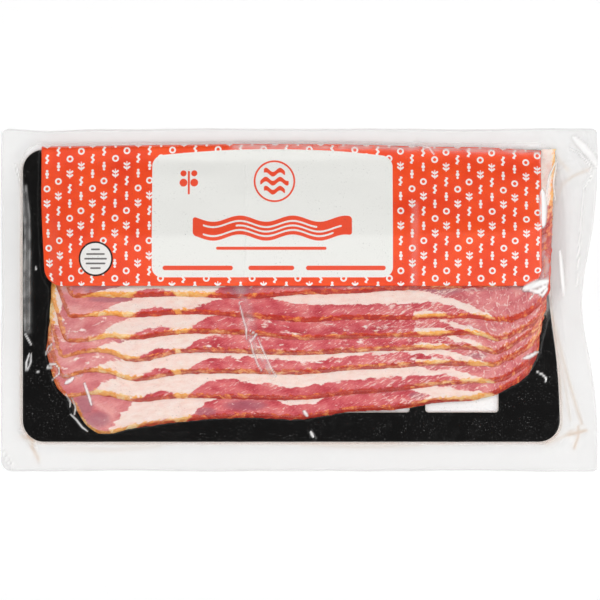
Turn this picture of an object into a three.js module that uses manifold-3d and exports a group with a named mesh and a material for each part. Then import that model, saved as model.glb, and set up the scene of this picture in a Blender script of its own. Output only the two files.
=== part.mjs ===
// A flat vacuum pack of bacon: ten thick slices shingled on a folded card, sealed in clear film.
// Millimetres, +Z up, +X along the slices, +Y towards the card's fold.
// The origin is the centre of the pack's underside.
import * as THREE from "three";
import { mergeVertices } from "three/addons/utils/BufferGeometryUtils.js";
import Module from "manifold-3d";

// Film: the lower web, and the wide sealed flange round the contents
const PACK_WIDTH = 294;
const PACK_DEPTH = 169;
const FILM_THICKNESS = 0.4;
const FLANGE_CORNER = 3;
const FLANGE_WAIST = 7.4; // the right edge is drawn in by the vacuum
const FLANGE_WAIST_SPREAD = 34;
const WAIST_Y = -2;
const GAP = 0.3; // between neighbouring pieces

// Card: a base with two windows, folded at its top edge into a flap over the slices
const CARD_THICKNESS = 0.6;
const CARD = { left: -136.2, right: 128.3, bottom: -69.8, top: 74, corner: 10.5 };
const CARD_WAIST = 6;
const CARD_WAIST_Y = 12;
const CARD_WAIST_BELOW = 38;
const CARD_WAIST_ABOVE = 60;
const FLAP = { left: -126.8, right: 118.6, bottom: 6.9, corner: 8.5, droopTo: 6.2 };
const FOLD_RADIUS = 2.3;
const FOLD_STEPS = 6;
const WINDOW = { width: 36, height: 40, bottom: -55.3, corner: 1.6 };
const WINDOW_LEFT_EDGES = [18.2, 61.9];

// Slices, from the front one to the one that lies on top, at the fold.
// low: its lower edge at the left and right gauge lines. corner, end: how far its left end
// reaches at the lower edge and behind it. right: its right end, where the edge sweeps up by rise.
const LEFT_GAUGE = -83;
const RIGHT_GAUGE = 89;
const SLICES = [
  { low: [-63.2, -47.0], corner: -97.8, end: -124.5, right: 117.0, rise: 19 },
  { low: [-49.6, -40.2], corner: -110.0, end: -124.2, right: 116.0, rise: 15 },
  { low: [-39.6, -30.4], corner: -117.0, end: -124.0, right: 115.5, rise: 11.5 },
  { low: [-29.2, -22.6], corner: -118.8, end: -123.4, right: 117.0, rise: 11.5 },
  { low: [-18.8, -16.8], corner: -112.2, end: -121.6, right: 118.5, rise: 12 },
  { low: [-8.1, -8.6], corner: -111.4, end: -120.4, right: 121.8, rise: 14 },
  { low: [1.4, 5.4], corner: -113.0, end: -119.0, right: 122.8, rise: 13 },
  { low: [11.4, 14.4], corner: -114.0, end: -118.6, right: 121.8, rise: 11 },
  { low: [21.2, 23.4], corner: -113.4, end: -118.8, right: 122.6, rise: 9 },
  { low: [30.6, 32.0], corner: -114.2, end: -118.4, right: 124.0, rise: 7 },
];
const LAYERS = 4; // each slice lies on the four before it
const SLICE_THICKNESS = 3.3;
const LAYER_HEIGHT = SLICE_THICKNESS + 0.25;
const LAST_PITCH = 9.6; // spacing of the upper edges above the last slice's lower edge
const SWEEP_FROM = 93; // where the right ends begin to sweep up
const SWEEP_POWER = 1.8;
const WAVES = [
  { height: 0.7, length: 145, shift: 1.9 },
  { height: 0.35, length: 58, shift: 2.7 },
];
const FRONT_FOOT = { x: -96, spread: 16, drop: 1.6 }; // the front slice's low left corner
const END_SAG = 0.3; // share of the height lost at the pressed-down ends
const SAG_FROM = 88;
const SAG_LENGTH = 36;
const CRUST_LEAN = 0.12; // the rind side leans out at its foot, in layers
const CRUST_SHOULDER = 0.8;
const CROWN = 0.25;
const SLICE_COLUMNS = 26;
const SLICE_ROWS = [0, 0.14, 0.55, 1, 2, 3, LAYERS]; // in layers above the lower edge

const CARD_BOTTOM = FILM_THICKNESS + GAP;
const CARD_TOP = CARD_BOTTOM + CARD_THICKNESS;
const SLICE_FLOOR = CARD_TOP + GAP;

const { lerp, clamp, smoothstep } = THREE.MathUtils;
const wasm = await Module();
wasm.setup();

function toSolid(geometry) {
  const bare = geometry.index ? geometry.toNonIndexed() : geometry.clone();
  bare.deleteAttribute("normal");
  bare.deleteAttribute("uv");
  const merged = mergeVertices(bare, 1e-4);
  return new wasm.Manifold(
    new wasm.Mesh({
      numProp: 3,
      vertProperties: merged.attributes.position.array,
      triVerts: new Uint32Array(merged.index.array),
    }),
  );
}

function toGeometry(solid) {
  const mesh = solid.getMesh();
  return new THREE.BufferGeometry()
    .setAttribute("position", new THREE.BufferAttribute(mesh.vertProperties, 3))
    .setIndex(new THREE.BufferAttribute(mesh.triVerts, 1));
}

// A closed slab between two grids of points, upper(i, j) and lower(i, j).
function slab(columns, rows, upper, lower) {
  const points = [];
  const faces = [];
  const width = columns + 1;
  const layer = width * (rows + 1);
  for (const place of [lower, upper]) {
    for (let j = 0; j <= rows; j++) {
      for (let i = 0; i <= columns; i++) points.push(...place(i, j));
    }
  }
  const at = (side, i, j) => side * layer + j * width + i;
  const quad = (a, b, c, d) => faces.push(a, b, c, a, c, d);
  for (let j = 0; j < rows; j++) {
    for (let i = 0; i < columns; i++) {
      quad(at(1, i, j), at(1, i + 1, j), at(1, i + 1, j + 1), at(1, i, j + 1));
      quad(at(0, i, j), at(0, i, j + 1), at(0, i + 1, j + 1), at(0, i + 1, j));
    }
  }
  for (let i = 0; i < columns; i++) {
    quad(at(0, i, 0), at(0, i + 1, 0), at(1, i + 1, 0), at(1, i, 0));
    quad(at(0, i + 1, rows), at(0, i, rows), at(1, i, rows), at(1, i + 1, rows));
  }
  for (let j = 0; j < rows; j++) {
    quad(at(0, columns, j), at(0, columns, j + 1), at(1, columns, j + 1), at(1, columns, j));
    quad(at(0, 0, j + 1), at(0, 0, j), at(1, 0, j), at(1, 0, j + 1));
  }
  return new THREE.BufferGeometry()
    .setAttribute("position", new THREE.Float32BufferAttribute(points, 3))
    .setIndex(faces);
}

// The lower edge of a slice, or above the last slice one of the levels that upper edges reach.
function edgeLevel(level, x) {
  const last = SLICES.length - 1;
  const slice = SLICES[Math.min(level, last)];
  const beyond = Math.max(0, level - last);
  const along = (x - LEFT_GAUGE) / (RIGHT_GAUGE - LEFT_GAUGE);
  const sweep = Math.max(0, (x - SWEEP_FROM) / (slice.right - SWEEP_FROM));
  const rise = slice.rise * (1 - beyond / LAYERS);
  const wave = WAVES.reduce(
    (sum, w) => sum + w.height * Math.sin((2 * Math.PI * x) / w.length + w.shift * level),
    0,
  );
  const foot = level === 0 ? Math.exp(-(((x - FRONT_FOOT.x) / FRONT_FOOT.spread) ** 2)) : 0;
  return (
    lerp(slice.low[0], slice.low[1], along) +
    beyond * LAST_PITCH +
    rise * sweep ** SWEEP_POWER +
    wave -
    foot * FRONT_FOOT.drop
  );
}

// The shingle's own coordinate: shingle k is the lower edge of slice k, in between is in proportion.
function shingleY(shingle, x) {
  const level = clamp(Math.floor(shingle), 0, SLICES.length + LAYERS - 2);
  return lerp(edgeLevel(level, x), edgeLevel(level + 1, x), shingle - level);
}

function shingleAt(x, y) {
  let level = 0;
  while (level < SLICES.length + LAYERS - 2 && edgeLevel(level + 1, x) < y) level++;
  const low = edgeLevel(level, x);
  return level + (y - low) / (edgeLevel(level + 1, x) - low);
}

// 1 over the middle of the stack, less towards its pressed-down ends
function endHeight(x) {
  const past = Math.max(0, (Math.abs(x) - SAG_FROM) / SAG_LENGTH);
  return 1 - END_SAG * past ** 2;
}

function sliceBottom(slice, shingle, x) {
  const layersBelow = Math.min(slice, slice + LAYERS - shingle);
  return SLICE_FLOOR + endHeight(x) * LAYER_HEIGHT * layersBelow;
}

function sliceGeometry(k) {
  const { corner, end, right } = SLICES[k];
  const rows = SLICE_ROWS.length - 1;
  const plan = (i, j) => {
    const behind = SLICE_ROWS[j] / LAYERS;
    const left = lerp(end, corner, (1 - behind) ** 2);
    const t = i / SLICE_COLUMNS;
    const eased = lerp(t, (1 - Math.cos(Math.PI * t)) / 2, 0.7);
    return lerp(left, right, eased);
  };
  const lower = (i, j) => {
    const x = plan(i, j);
    const shingle = j === 0 ? k - CRUST_LEAN : k + SLICE_ROWS[j];
    return [x, shingleY(shingle, x), sliceBottom(k, shingle, x)];
  };
  const upper = (i, j) => {
    const x = plan(i, j);
    const shingle = k + SLICE_ROWS[j];
    const shoulder = j === 0 ? CRUST_SHOULDER : 0;
    const crown = j === 2 ? CROWN : 0;
    const thickness = endHeight(x) * (SLICE_THICKNESS - shoulder + crown);
    return [x, shingleY(shingle, x), sliceBottom(k, shingle, x) + thickness];
  };
  return slab(SLICE_COLUMNS, rows, upper, lower);
}

// Points of a rounded rectangle, counter-clockwise, always in the same number and order.
// Its right side is drawn in by waist(y).
const SIDE_STEPS = [14, 10, 14, 10];
const CORNER_STEPS = 5;
function outline({ left, right, bottom, top, corner }, waist = () => 0) {
  const middles = [
    [right - corner, bottom + corner],
    [right - corner, top - corner],
    [left + corner, top - corner],
    [left + corner, bottom + corner],
  ];
  const points = [];
  for (let side = 0; side < 4; side++) {
    const [x, y] = middles[side];
    const [nextX, nextY] = middles[(side + 1) % 4];
    for (let step = 0; step <= CORNER_STEPS; step++) {
      const angle = (Math.PI / 2) * (side - 1 + step / CORNER_STEPS);
      points.push([x + corner * Math.cos(angle), y + corner * Math.sin(angle)]);
    }
    const [fromX, fromY] = points[points.length - 1];
    for (let step = 1; step < SIDE_STEPS[side]; step++) {
      const share = step / SIDE_STEPS[side];
      points.push([fromX + (nextX - x) * share, fromY + (nextY - y) * share]);
    }
  }
  const middle = (left + right) / 2;
  return points.map(([x, y]) => {
    const share = smoothstep(x, middle, right);
    return [x - waist(y) * share, y];
  });
}

const grown = (box, by) => ({
  left: box.left - by,
  right: box.right + by,
  bottom: box.bottom - by,
  top: box.top + by,
  corner: box.corner + by,
});

const flangeWaist = (y) =>
  FLANGE_WAIST * Math.exp(-(((y - WAIST_Y) / FLANGE_WAIST_SPREAD) ** 2));

function cardWaist(y) {
  const spread = y > CARD_WAIST_Y ? CARD_WAIST_ABOVE : CARD_WAIST_BELOW;
  return CARD_WAIST * Math.exp(-(((y - CARD_WAIST_Y) / spread) ** 2));
}

// How high the upper web stands where it leaves the contents, going round the card
const CREST_LOW = 1.9;
const CREST_AT_FOLD = 5.4;
const CREST_AT_ENDS = 8.6;
function crestHeight(x, y) {
  const alongFold = smoothstep(y, 70, 75) * (1 - smoothstep(Math.abs(x), 116, 128));
  const alongEnd = smoothstep(x, 118, 122) * smoothstep(y, -44, -20) * (1 - smoothstep(y, 58, 76));
  return lerp(lerp(CREST_LOW, CREST_AT_FOLD, alongFold), CREST_AT_ENDS, alongEnd);
}

// The film is a flat web with a sealed flange, and rises in a slope to meet the contents.
function filmGeometry() {
  const edge = outline(
    {
      left: -PACK_WIDTH / 2,
      right: PACK_WIDTH / 2,
      bottom: -PACK_DEPTH / 2,
      top: PACK_DEPTH / 2,
      corner: FLANGE_CORNER,
    },
    flangeWaist,
  );
  const contents = { ...CARD, top: CARD.top + FOLD_RADIUS };
  const foot = outline(grown(contents, 4.6), cardWaist);
  const crest = outline(grown(contents, 1.4), cardWaist);
  const wall = outline(grown(contents, 0.6), cardWaist);
  const flat = (z) => () => z;
  const rings = [
    [edge, flat(0)],
    [edge, flat(FILM_THICKNESS)],
    [foot, flat(FILM_THICKNESS)],
    [crest, crestHeight],
    [wall, (x, y) => crestHeight(x, y) - 0.3],
    [wall, flat(FILM_THICKNESS)],
  ];
  const count = edge.length;
  const points = [0, 0, 0];
  for (const [ring, height] of rings) {
    for (const [x, y] of ring) points.push(x, y, height(x, y));
  }
  points.push(0, 0, FILM_THICKNESS);
  const top = points.length / 3 - 1;
  const at = (ring, i) => 1 + ring * count + (i % count);
  const faces = [];
  for (let i = 0; i < count; i++) {
    faces.push(0, at(0, i + 1), at(0, i));
    for (let ring = 0; ring < rings.length - 1; ring++) {
      const [a, b] = [at(ring, i), at(ring, i + 1)];
      const [c, d] = [at(ring + 1, i + 1), at(ring + 1, i)];
      faces.push(a, b, c, a, c, d);
    }
    faces.push(at(rings.length - 1, i), at(rings.length - 1, i + 1), top);
  }
  return new THREE.BufferGeometry()
    .setAttribute("position", new THREE.Float32BufferAttribute(points, 3))
    .setIndex(faces);
}

function cardBase() {
  const shape = new THREE.Shape(outline(CARD, cardWaist).map(([x, y]) => new THREE.Vector2(x, y)));
  const { width, height, bottom, corner } = WINDOW;
  for (const left of WINDOW_LEFT_EDGES) {
    const hole = new THREE.Path();
    const [right, top] = [left + width, bottom + height];
    hole.absarc(right - corner, bottom + corner, corner, -Math.PI / 2, 0);
    hole.absarc(right - corner, top - corner, corner, 0, Math.PI / 2);
    hole.absarc(left + corner, top - corner, corner, Math.PI / 2, Math.PI);
    hole.absarc(left + corner, bottom + corner, corner, Math.PI, (3 * Math.PI) / 2);
    shape.holes.push(hole);
  }
  const options = { depth: CARD_THICKNESS, bevelEnabled: false, curveSegments: 3 };
  return new THREE.ExtrudeGeometry(shape, options).translate(0, 0, CARD_BOTTOM);
}

// Underside of the flap where it lies over the slices
const FLAP_CLEARANCE = 0.6;
const DROOP_FROM = -118.5;
function flapUnderside(x, y) {
  const above = Math.min(LAYERS, SLICES.length - 1 + LAYERS - shingleAt(x, y));
  const stack = endHeight(x) * (LAYER_HEIGHT * Math.max(0, above) + SLICE_THICKNESS);
  const onStack = SLICE_FLOOR + stack + FLAP_CLEARANCE;
  const droop = smoothstep(DROOP_FROM - x, 0, DROOP_FROM - FLAP.left);
  return lerp(onStack, Math.min(onStack, FLAP.droopTo), droop);
}

// The flap starts inside the base's top edge, turns over the fold and runs down over the slices.
const FLAP_COLUMNS = 24;
const FLAP_HEIGHTS = [0, 0.25, 0.5, 0.75, 1, 1.9, 3, 4, 5, 6, 6.6]; // in corner radii above its edge
function cardFlap() {
  const half = CARD_THICKNESS / 2;
  const middle = CARD_BOTTOM + half;
  const profile = [{ turn: -Math.PI / 2, y: CARD.top - 4, half: half * 0.7 }];
  for (let step = 0; step <= FOLD_STEPS; step++) {
    profile.push({ turn: Math.PI * (step / FOLD_STEPS - 0.5), y: CARD.top - 0.4, half });
  }
  profile[1].half = half * 0.7;
  for (const height of FLAP_HEIGHTS.toReversed()) {
    profile.push({ lies: true, y: FLAP.bottom + height * FLAP.corner });
  }
  const across = (i, y) => {
    const up = clamp((y - FLAP.bottom) / FLAP.corner, 0, 1);
    const inset = FLAP.corner * (1 - Math.sqrt(1 - (1 - up) ** 2));
    return lerp(FLAP.left + inset, FLAP.right - inset, i / FLAP_COLUMNS);
  };
  const place = (i, j, side) => {
    const row = profile[j];
    const x = across(i, row.y);
    if (row.lies) {
      return [x, row.y, flapUnderside(x, row.y) + half + side * half];
    }
    const radius = FOLD_RADIUS + side * row.half;
    return [
      x,
      row.y + Math.cos(row.turn) * radius,
      middle + FOLD_RADIUS + Math.sin(row.turn) * radius,
    ];
  };
  return slab(
    FLAP_COLUMNS,
    profile.length - 1,
    (i, j) => place(FLAP_COLUMNS - i, j, 1),
    (i, j) => place(FLAP_COLUMNS - i, j, -1),
  );
}

function cardGeometry() {
  return toGeometry(toSolid(cardBase()).add(toSolid(cardFlap())));
}

const film = new THREE.MeshStandardMaterial({ color: 0xe9e9e8, roughness: 0.25, metalness: 0 });
const printedCard = new THREE.MeshStandardMaterial({ color: 0xf04e2a, roughness: 0.45, metalness: 0 });
const bacon = new THREE.MeshStandardMaterial({ color: 0xd98a82, roughness: 0.5, metalness: 0 });

function named(name, geometry, material) {
  const mesh = new THREE.Mesh(geometry, material);
  mesh.name = name;
  return mesh;
}

const pack = new THREE.Group();
pack.name = "bacon_pack";
pack.add(named("film_pouch", filmGeometry(), film));
pack.add(named("card", cardGeometry(), printedCard));
const slices = new THREE.Group();
SLICES.forEach((_, k) => {
  const number = String(k + 1).padStart(2, "0");
  slices.add(named("slice_" + number, sliceGeometry(k), bacon));
});
pack.add(slices);

export default pack;
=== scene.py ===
# A flat vacuum pack of bacon, seen from straight above: ten shingled slices on a folded card, in clear film.
import math

import bpy
import numpy as np
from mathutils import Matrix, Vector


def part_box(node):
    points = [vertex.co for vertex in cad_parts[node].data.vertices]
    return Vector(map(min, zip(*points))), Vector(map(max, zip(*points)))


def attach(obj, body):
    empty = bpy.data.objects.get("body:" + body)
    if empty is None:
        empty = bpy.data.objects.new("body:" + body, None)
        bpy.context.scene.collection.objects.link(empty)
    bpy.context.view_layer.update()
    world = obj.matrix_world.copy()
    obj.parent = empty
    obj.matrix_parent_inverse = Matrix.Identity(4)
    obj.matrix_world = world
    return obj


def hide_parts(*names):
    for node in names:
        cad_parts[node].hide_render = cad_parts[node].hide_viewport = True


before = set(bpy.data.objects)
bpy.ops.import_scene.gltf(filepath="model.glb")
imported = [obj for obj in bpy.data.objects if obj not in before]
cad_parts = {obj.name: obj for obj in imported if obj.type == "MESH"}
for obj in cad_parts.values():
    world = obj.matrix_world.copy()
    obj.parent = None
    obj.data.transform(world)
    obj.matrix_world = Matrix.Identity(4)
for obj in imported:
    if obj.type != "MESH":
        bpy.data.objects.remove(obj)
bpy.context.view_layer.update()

# Lengths are in millimetres and turn to metres when a mesh is made.
MM = 0.001
PX = 0.4916  # millimetres to one pixel of the photograph
CENTRE_PX = (299, 299.5)  # the pixel over the pack's origin
FRAME_WIDTH = 600 * PX
FRAME_CENTRE_PX = (299.5, 299.5)

# The pack's outline and its pieces, as the solids have them
film_low, film_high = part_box("film_pouch")
PACK_LEFT, PACK_BOTTOM = film_low.x / MM, film_low.y / MM
PACK_RIGHT, PACK_TOP = film_high.x / MM, film_high.y / MM
FILM_THICKNESS = 0.4
FLANGE_WAIST = {"depth": 7.4, "y": -2, "below": 34, "above": 34}
CARD = {"left": -136.2, "right": 128.3, "bottom": -69.8, "top": 74, "corner": 10.5}
CARD_WAIST = {"depth": 6, "y": 12, "below": 38, "above": 60}
CARD_THICKNESS = 0.6
CARD_BOTTOM = 0.7
CARD_TOP = CARD_BOTTOM + CARD_THICKNESS
FLAP = {"left": -126.8, "right": 118.6, "bottom": 6.9, "corner": 8.5, "droop_to": 10.5}
DROOP_FROM = -117
FOLD_RADIUS = 2.3
FOLD_Y = CARD["top"] - 0.4
WINDOW = {"width": 36, "height": 40, "bottom": -55.3, "corner": 1.6}
WINDOW_LEFT_EDGES = (18.2, 61.9)

# Slices from the front one to the one at the fold: lower edge at the two gauge lines,
# left end at the lower edge and behind it, right end, and how far the edge sweeps up there
LEFT_GAUGE = -83
RIGHT_GAUGE = 89
SLICES = (
    ((-63.2, -47.0), -97.8, -124.5, 117.0, 19.0),
    ((-49.6, -40.2), -110.0, -124.2, 116.0, 15.0),
    ((-39.6, -30.4), -117.0, -124.0, 115.5, 11.5),
    ((-29.2, -22.6), -118.8, -123.4, 117.0, 11.5),
    ((-18.8, -16.8), -112.2, -121.6, 118.5, 12.0),
    ((-8.1, -8.6), -111.4, -120.4, 121.8, 14.0),
    ((1.4, 5.4), -113.0, -119.0, 122.8, 13.0),
    ((11.4, 14.4), -114.0, -118.6, 121.8, 11.0),
    ((21.2, 23.4), -113.4, -118.8, 122.6, 9.0),
    ((30.6, 32.0), -114.2, -118.4, 124.0, 7.0),
)
LAST = len(SLICES) - 1
LAYERS = 4  # each slice lies on the four before it
SLICE_THICKNESS = 3.3
LAYER_HEIGHT = 3.55
SLICE_FLOOR = 1.6
LAST_PITCH = 9.6
SWEEP_FROM = 93
SWEEP_POWER = 1.8
WAVES = ((0.7, 145, 1.9), (0.35, 58, 2.7))  # height, length and shift from slice to slice
FRONT_FOOT = {"x": -96, "spread": 16, "drop": 1.6}
END_SAG = 0.3
SAG_FROM = 88
SAG_LENGTH = 36


def linear(hex_colour):
    """A colour written as sRGB hex, as the linear values that a shader takes."""
    parts = [int(hex_colour[i : i + 2], 16) / 255 for i in (1, 3, 5)]
    return [p / 12.92 if p <= 0.04045 else ((p + 0.055) / 1.055) ** 2.4 for p in parts] + [1.0]


def lerp(a, b, t):
    return a + (b - a) * t


def ease(value, low, high):
    """0 below low, 1 above high, smooth in between."""
    t = np.clip((np.asarray(value, float) - low) / (high - low), 0, 1)
    return t * t * (3 - 2 * t)


def bump_at(value, centre, spread):
    return np.exp(-(((value - centre) / spread) ** 2))


def spots(pixels):
    """Places in the photograph, as millimetres on the pack."""
    p = np.asarray(pixels, float)
    return np.stack([(p[..., 0] - CENTRE_PX[0]) * PX, (CENTRE_PX[1] - p[..., 1]) * PX], -1)


LUMPS = 97  # after that many lumps the unevenness repeats


def uneven(x, y, size, seed):
    """Smooth unevenness from -1 to 1, whose lumps are that many millimetres apart."""
    table = np.random.default_rng(seed).uniform(-1, 1, (LUMPS, LUMPS))
    u, v = np.broadcast_arrays(np.asarray(x, float) / size, np.asarray(y, float) / size)
    i, j = np.floor(u).astype(int), np.floor(v).astype(int)
    a, b = ease(u - i, 0, 1), ease(v - j, 0, 1)
    here = lambda di, dj: table[(i + di) % LUMPS, (j + dj) % LUMPS]
    return lerp(lerp(here(0, 0), here(1, 0), a), lerp(here(0, 1), here(1, 1), a), b)


def waist(y, pinch):
    spread = np.where(y > pinch["y"], pinch["above"], pinch["below"])
    return pinch["depth"] * np.exp(-(((y - pinch["y"]) / spread) ** 2))


def inside(x, y, box, grow=0.0, pinch=None):
    """How far inside a rounded rectangle each place is, in millimetres, below 0 outside it."""
    left, right = box["left"] - grow, box["right"] + grow
    bottom, top = box["bottom"] - grow, box["top"] + grow
    if pinch:
        x = x + waist(y, pinch) * ease(x, (left + right) / 2, right)
    corner = box["corner"] + grow
    across = np.abs(x - (left + right) / 2) - ((right - left) / 2 - corner)
    along = np.abs(y - (bottom + top) / 2) - ((top - bottom) / 2 - corner)
    outside = np.hypot(np.maximum(across, 0), np.maximum(along, 0))
    return corner - outside - np.minimum(np.maximum(across, along), 0)


# The stack of slices


def edge_level(level, x):
    """The lower edge of a slice, or above the last slice one of the levels that upper edges reach."""
    (low_left, low_right), _, _, right, rise = SLICES[min(level, LAST)]
    beyond = max(0, level - LAST)
    sweep = np.maximum(0, (x - SWEEP_FROM) / (right - SWEEP_FROM)) ** SWEEP_POWER
    wave = sum(h * np.sin(2 * math.pi * x / length + shift * level) for h, length, shift in WAVES)
    foot = bump_at(x, FRONT_FOOT["x"], FRONT_FOOT["spread"]) * FRONT_FOOT["drop"] * (level == 0)
    low = lerp(low_left, low_right, (x - LEFT_GAUGE) / (RIGHT_GAUGE - LEFT_GAUGE))
    return low + beyond * LAST_PITCH + rise * (1 - beyond / LAYERS) * sweep + wave - foot


def all_levels(x):
    return np.stack([edge_level(level, x) for level in range(LAST + LAYERS + 1)])


def through(places, values, x):
    """A smooth line through a few points, flat beyond its ends."""
    places, values = np.asarray(places, float), np.asarray(values, float)
    slopes = np.gradient(values, places)
    x = np.clip(x, places[0], places[-1])
    i = np.clip(np.searchsorted(places, x, side="right") - 1, 0, len(places) - 2)
    run = places[i + 1] - places[i]
    t = (x - places[i]) / run
    return (
        (1 + 2 * t) * (1 - t) ** 2 * values[i] + t * (1 - t) ** 2 * run * slopes[i]
        + t * t * (3 - 2 * t) * values[i + 1] - t * t * (1 - t) * run * slopes[i + 1]
    )


# The lower edges that show below the flap, as photo rows at these photo columns
EDGE_COLUMNS = (64, 92, 108, 128, 180, 250, 300, 350, 400, 430, 482, 495, 508, 520, 529, 536, 546)
EDGE_ROWS = (
    (430, 432, 433.5, 429.2, 421.5, 417.5, 419, 411.5, 408.5,
     403.5, 398, 394.3, 388, 381.5, 372, 358, 340),
    (399, 394.5, 396, 400.5, 398, 399, 399.5, 394, 390.5,
     386, 382.6, 381.8, 378, 370.7, 364, 355, 336),
    (378.5, 371.5, 373.5, 379.8, 374, 373.3, 373.7, 369.8, 367,
     365, 365.8, 366, 360, 354, 348, 340, 326),
    (358, 352, 353.3, 360.5, 353, 353, 354.8, 352, 350,
     349.5, 350.6, 353.6, 348.3, 341.5, 336, 330, 318),
    (342.5, 340.5, 337.4, 339.3, 333.5, 334.7, 339.3, 338, 336.8,
     336, 336.4, 340.4, 337.8, 332.3, 327.3, 322, 310),
    (318.5, 316.4, 315.2, 316.8, 313.8, 317.3, 321.4, 319.3, 319.3,
     318.5, 319.2, 321, 321.6, 318.2, 313, 308.5, 297),
    (298.5, 296.6, 296.6, 297, 296, 298, 294.5, 293, 290,
     289, 287, 286.5, 284.8, 280, 275.3, 271, 264),
)


def seen_edge(k, x):
    """The lower edge that shows: the solid's own, moved by a few millimetres to the real outline."""
    edge = edge_level(k, x)
    if k >= len(EDGE_ROWS):
        return edge
    column = x / PX + CENTRE_PX[0]
    return (CENTRE_PX[1] - through(EDGE_COLUMNS, EDGE_ROWS[k], column)) * PX


# The left ends that show, each slice's corner and how far it reaches behind that
LEFT_ENDS = (
    (-103.0, -122.0), (-114.0, -126.5), (-117.0, -126.0), (-117.5, -125.0), (-115.0, -124.0),
    (-113.0, -123.0), (-111.8, -122.5),
)
# The stack's left outline, as photo columns at these photo rows
LEFT_ROWS = (150, 285, 300, 312, 322, 337, 356, 372, 382, 391)
LEFT_OUTLINE = (52, 51, 50.4, 49.7, 48.8, 47.2, 46.2, 47.8, 51, 57)
# The stack's right outline, as photo columns at these photo rows
RIGHT_ROWS = (150, 205, 250, 290, 320, 345, 420)
RIGHT_OUTLINE = (556, 552, 550.5, 547.5, 542.5, 538.5, 537)


def outline_at(y, rows, outline):
    row = CENTRE_PX[1] - y / PX
    return (through(rows, outline, row) - CENTRE_PX[0]) * PX


def right_end(y):
    return outline_at(y, RIGHT_ROWS, RIGHT_OUTLINE)


def shingle_y(shingle, x):
    """Where a shingle lies: shingle k is the lower edge of slice k, in between is in proportion."""
    levels = all_levels(x)
    level = np.clip(np.floor(shingle).astype(int), 0, len(levels) - 2)
    low = np.take_along_axis(levels, level[None], 0)[0]
    high = np.take_along_axis(levels, level[None] + 1, 0)[0]
    return lerp(low, high, shingle - level)


def shingle_at(x, y):
    levels = all_levels(x)
    level = np.clip((levels[1:-1] < y[None]).sum(0), 0, len(levels) - 2)
    low = np.take_along_axis(levels, level[None], 0)[0]
    high = np.take_along_axis(levels, level[None] + 1, 0)[0]
    return level + (y - low) / (high - low)


def end_height(x):
    return 1 - END_SAG * (np.maximum(0, np.abs(x) - SAG_FROM) / SAG_LENGTH) ** 2


def slice_bottom(k, shingle, x):
    return SLICE_FLOOR + end_height(x) * LAYER_HEIGHT * np.minimum(k, k + LAYERS - shingle)


def left_end(k, shingle, y):
    corner, end = LEFT_ENDS[k] if k < len(LEFT_ENDS) else SLICES[k][1:3]
    behind = np.clip((shingle - k) / LAYERS, 0, 1)
    return np.maximum(lerp(end, corner, (1 - behind) ** 2), outline_at(y, LEFT_ROWS, LEFT_OUTLINE))


# How round the rind side is, and how much of it the vacuum presses out below the upper corner
RIND_ROUND = 2.9
RIND_FOOT = 0.06
FRONT_CORNER = 5.5  # radius of the front slice's lower left corner
CORNER = 2.6
RIGHT_CORNER = 2.4
FRONT_REACH = 1.0  # how far a moved edge may lie before the solid's own, in shingles
TOOTH = 0.32  # unevenness of the rind, in millimetres
TOOTH_GROWS = (92, 100)  # towards the right end, in millimetres from the pack's middle


def rind_distance(k, shingle, x, y):
    """Distance inward from the smoked outline of a slice: its lower edge and both of its ends."""
    step = 0.5
    slope = (seen_edge(k, x + step) - seen_edge(k, x - step)) / (2 * step)
    above = (y - seen_edge(k, x)) / np.sqrt(1 + slope**2)
    from_left = (x - left_end(k, shingle, y)) * 0.93
    from_right = right_end(y) - x
    nearest = np.minimum(np.minimum(above, from_left), from_right)
    left_corner = CORNER if k else FRONT_CORNER
    for from_end, radius in ((from_left, left_corner), (from_right, RIGHT_CORNER)):
        corner = np.hypot(np.maximum(radius - from_end, 0), np.maximum(radius - above, 0))
        nearest = np.where((from_end < radius) & (above < radius), radius - corner, nearest)
    return nearest


def slice_top(k, shingle, x, y):
    inward = np.clip(rind_distance(k, shingle, x, y) / RIND_ROUND, 0, 1)
    round_off = RIND_FOOT + (1 - RIND_FOOT) * np.sin(inward * math.pi / 2)
    back = np.sqrt(1 - np.clip(1 - (k + LAYERS - shingle) / 0.15, 0, 1) ** 2)
    thickness = SLICE_THICKNESS * round_off * (0.35 + 0.65 * back)
    relief = 0.12 * uneven(x + 31 * k, y, 9, 3) + 0.07 * uneven(x + 31 * k, y, 2.6, 4)
    return slice_bottom(k, shingle, x) + end_height(x) * (thickness + relief * inward)


def stack_top(x, y):
    """Upper surface of the slices at each place, 0 where none lies."""
    shingle = shingle_at(x, y)
    highest = np.zeros(x.shape)
    for k in range(len(SLICES)):
        lies = np.clip(shingle, k - FRONT_REACH, k + LAYERS)
        covers = (rind_distance(k, lies, x, y) > 0) & (shingle <= k + LAYERS)
        highest = np.where(covers, np.maximum(highest, slice_top(k, lies, x, y)), highest)
    return highest


# Where the flap lies over the slices

FOLD_BOW = ((-127, -0.7), (-60, 0.2), (-25, 0.6), (20, 0.4), (64, -0.8), (92, -1.1), (119, -2.8))
FOLD_FROM = 62
GAP = 0.3
FLAP_CLEARANCE = 0.6
# The flap's left edge leans in below a height: by how much, over what length, and where that fades out
SLANT = {"lean": 1.6, "from": 54, "length": 39, "power": 1.4, "fades_to": -100}


def slant(x, y):
    down = np.clip((SLANT["from"] - y) / SLANT["length"], 0, 1.2)
    return SLANT["lean"] * down ** SLANT["power"] * (1 - ease(x, FLAP["left"] + 2, SLANT["fades_to"]))


def fold_bow(x):
    """How far the fold stands off a straight line."""
    return np.interp(x, *zip(*FOLD_BOW))


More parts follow.
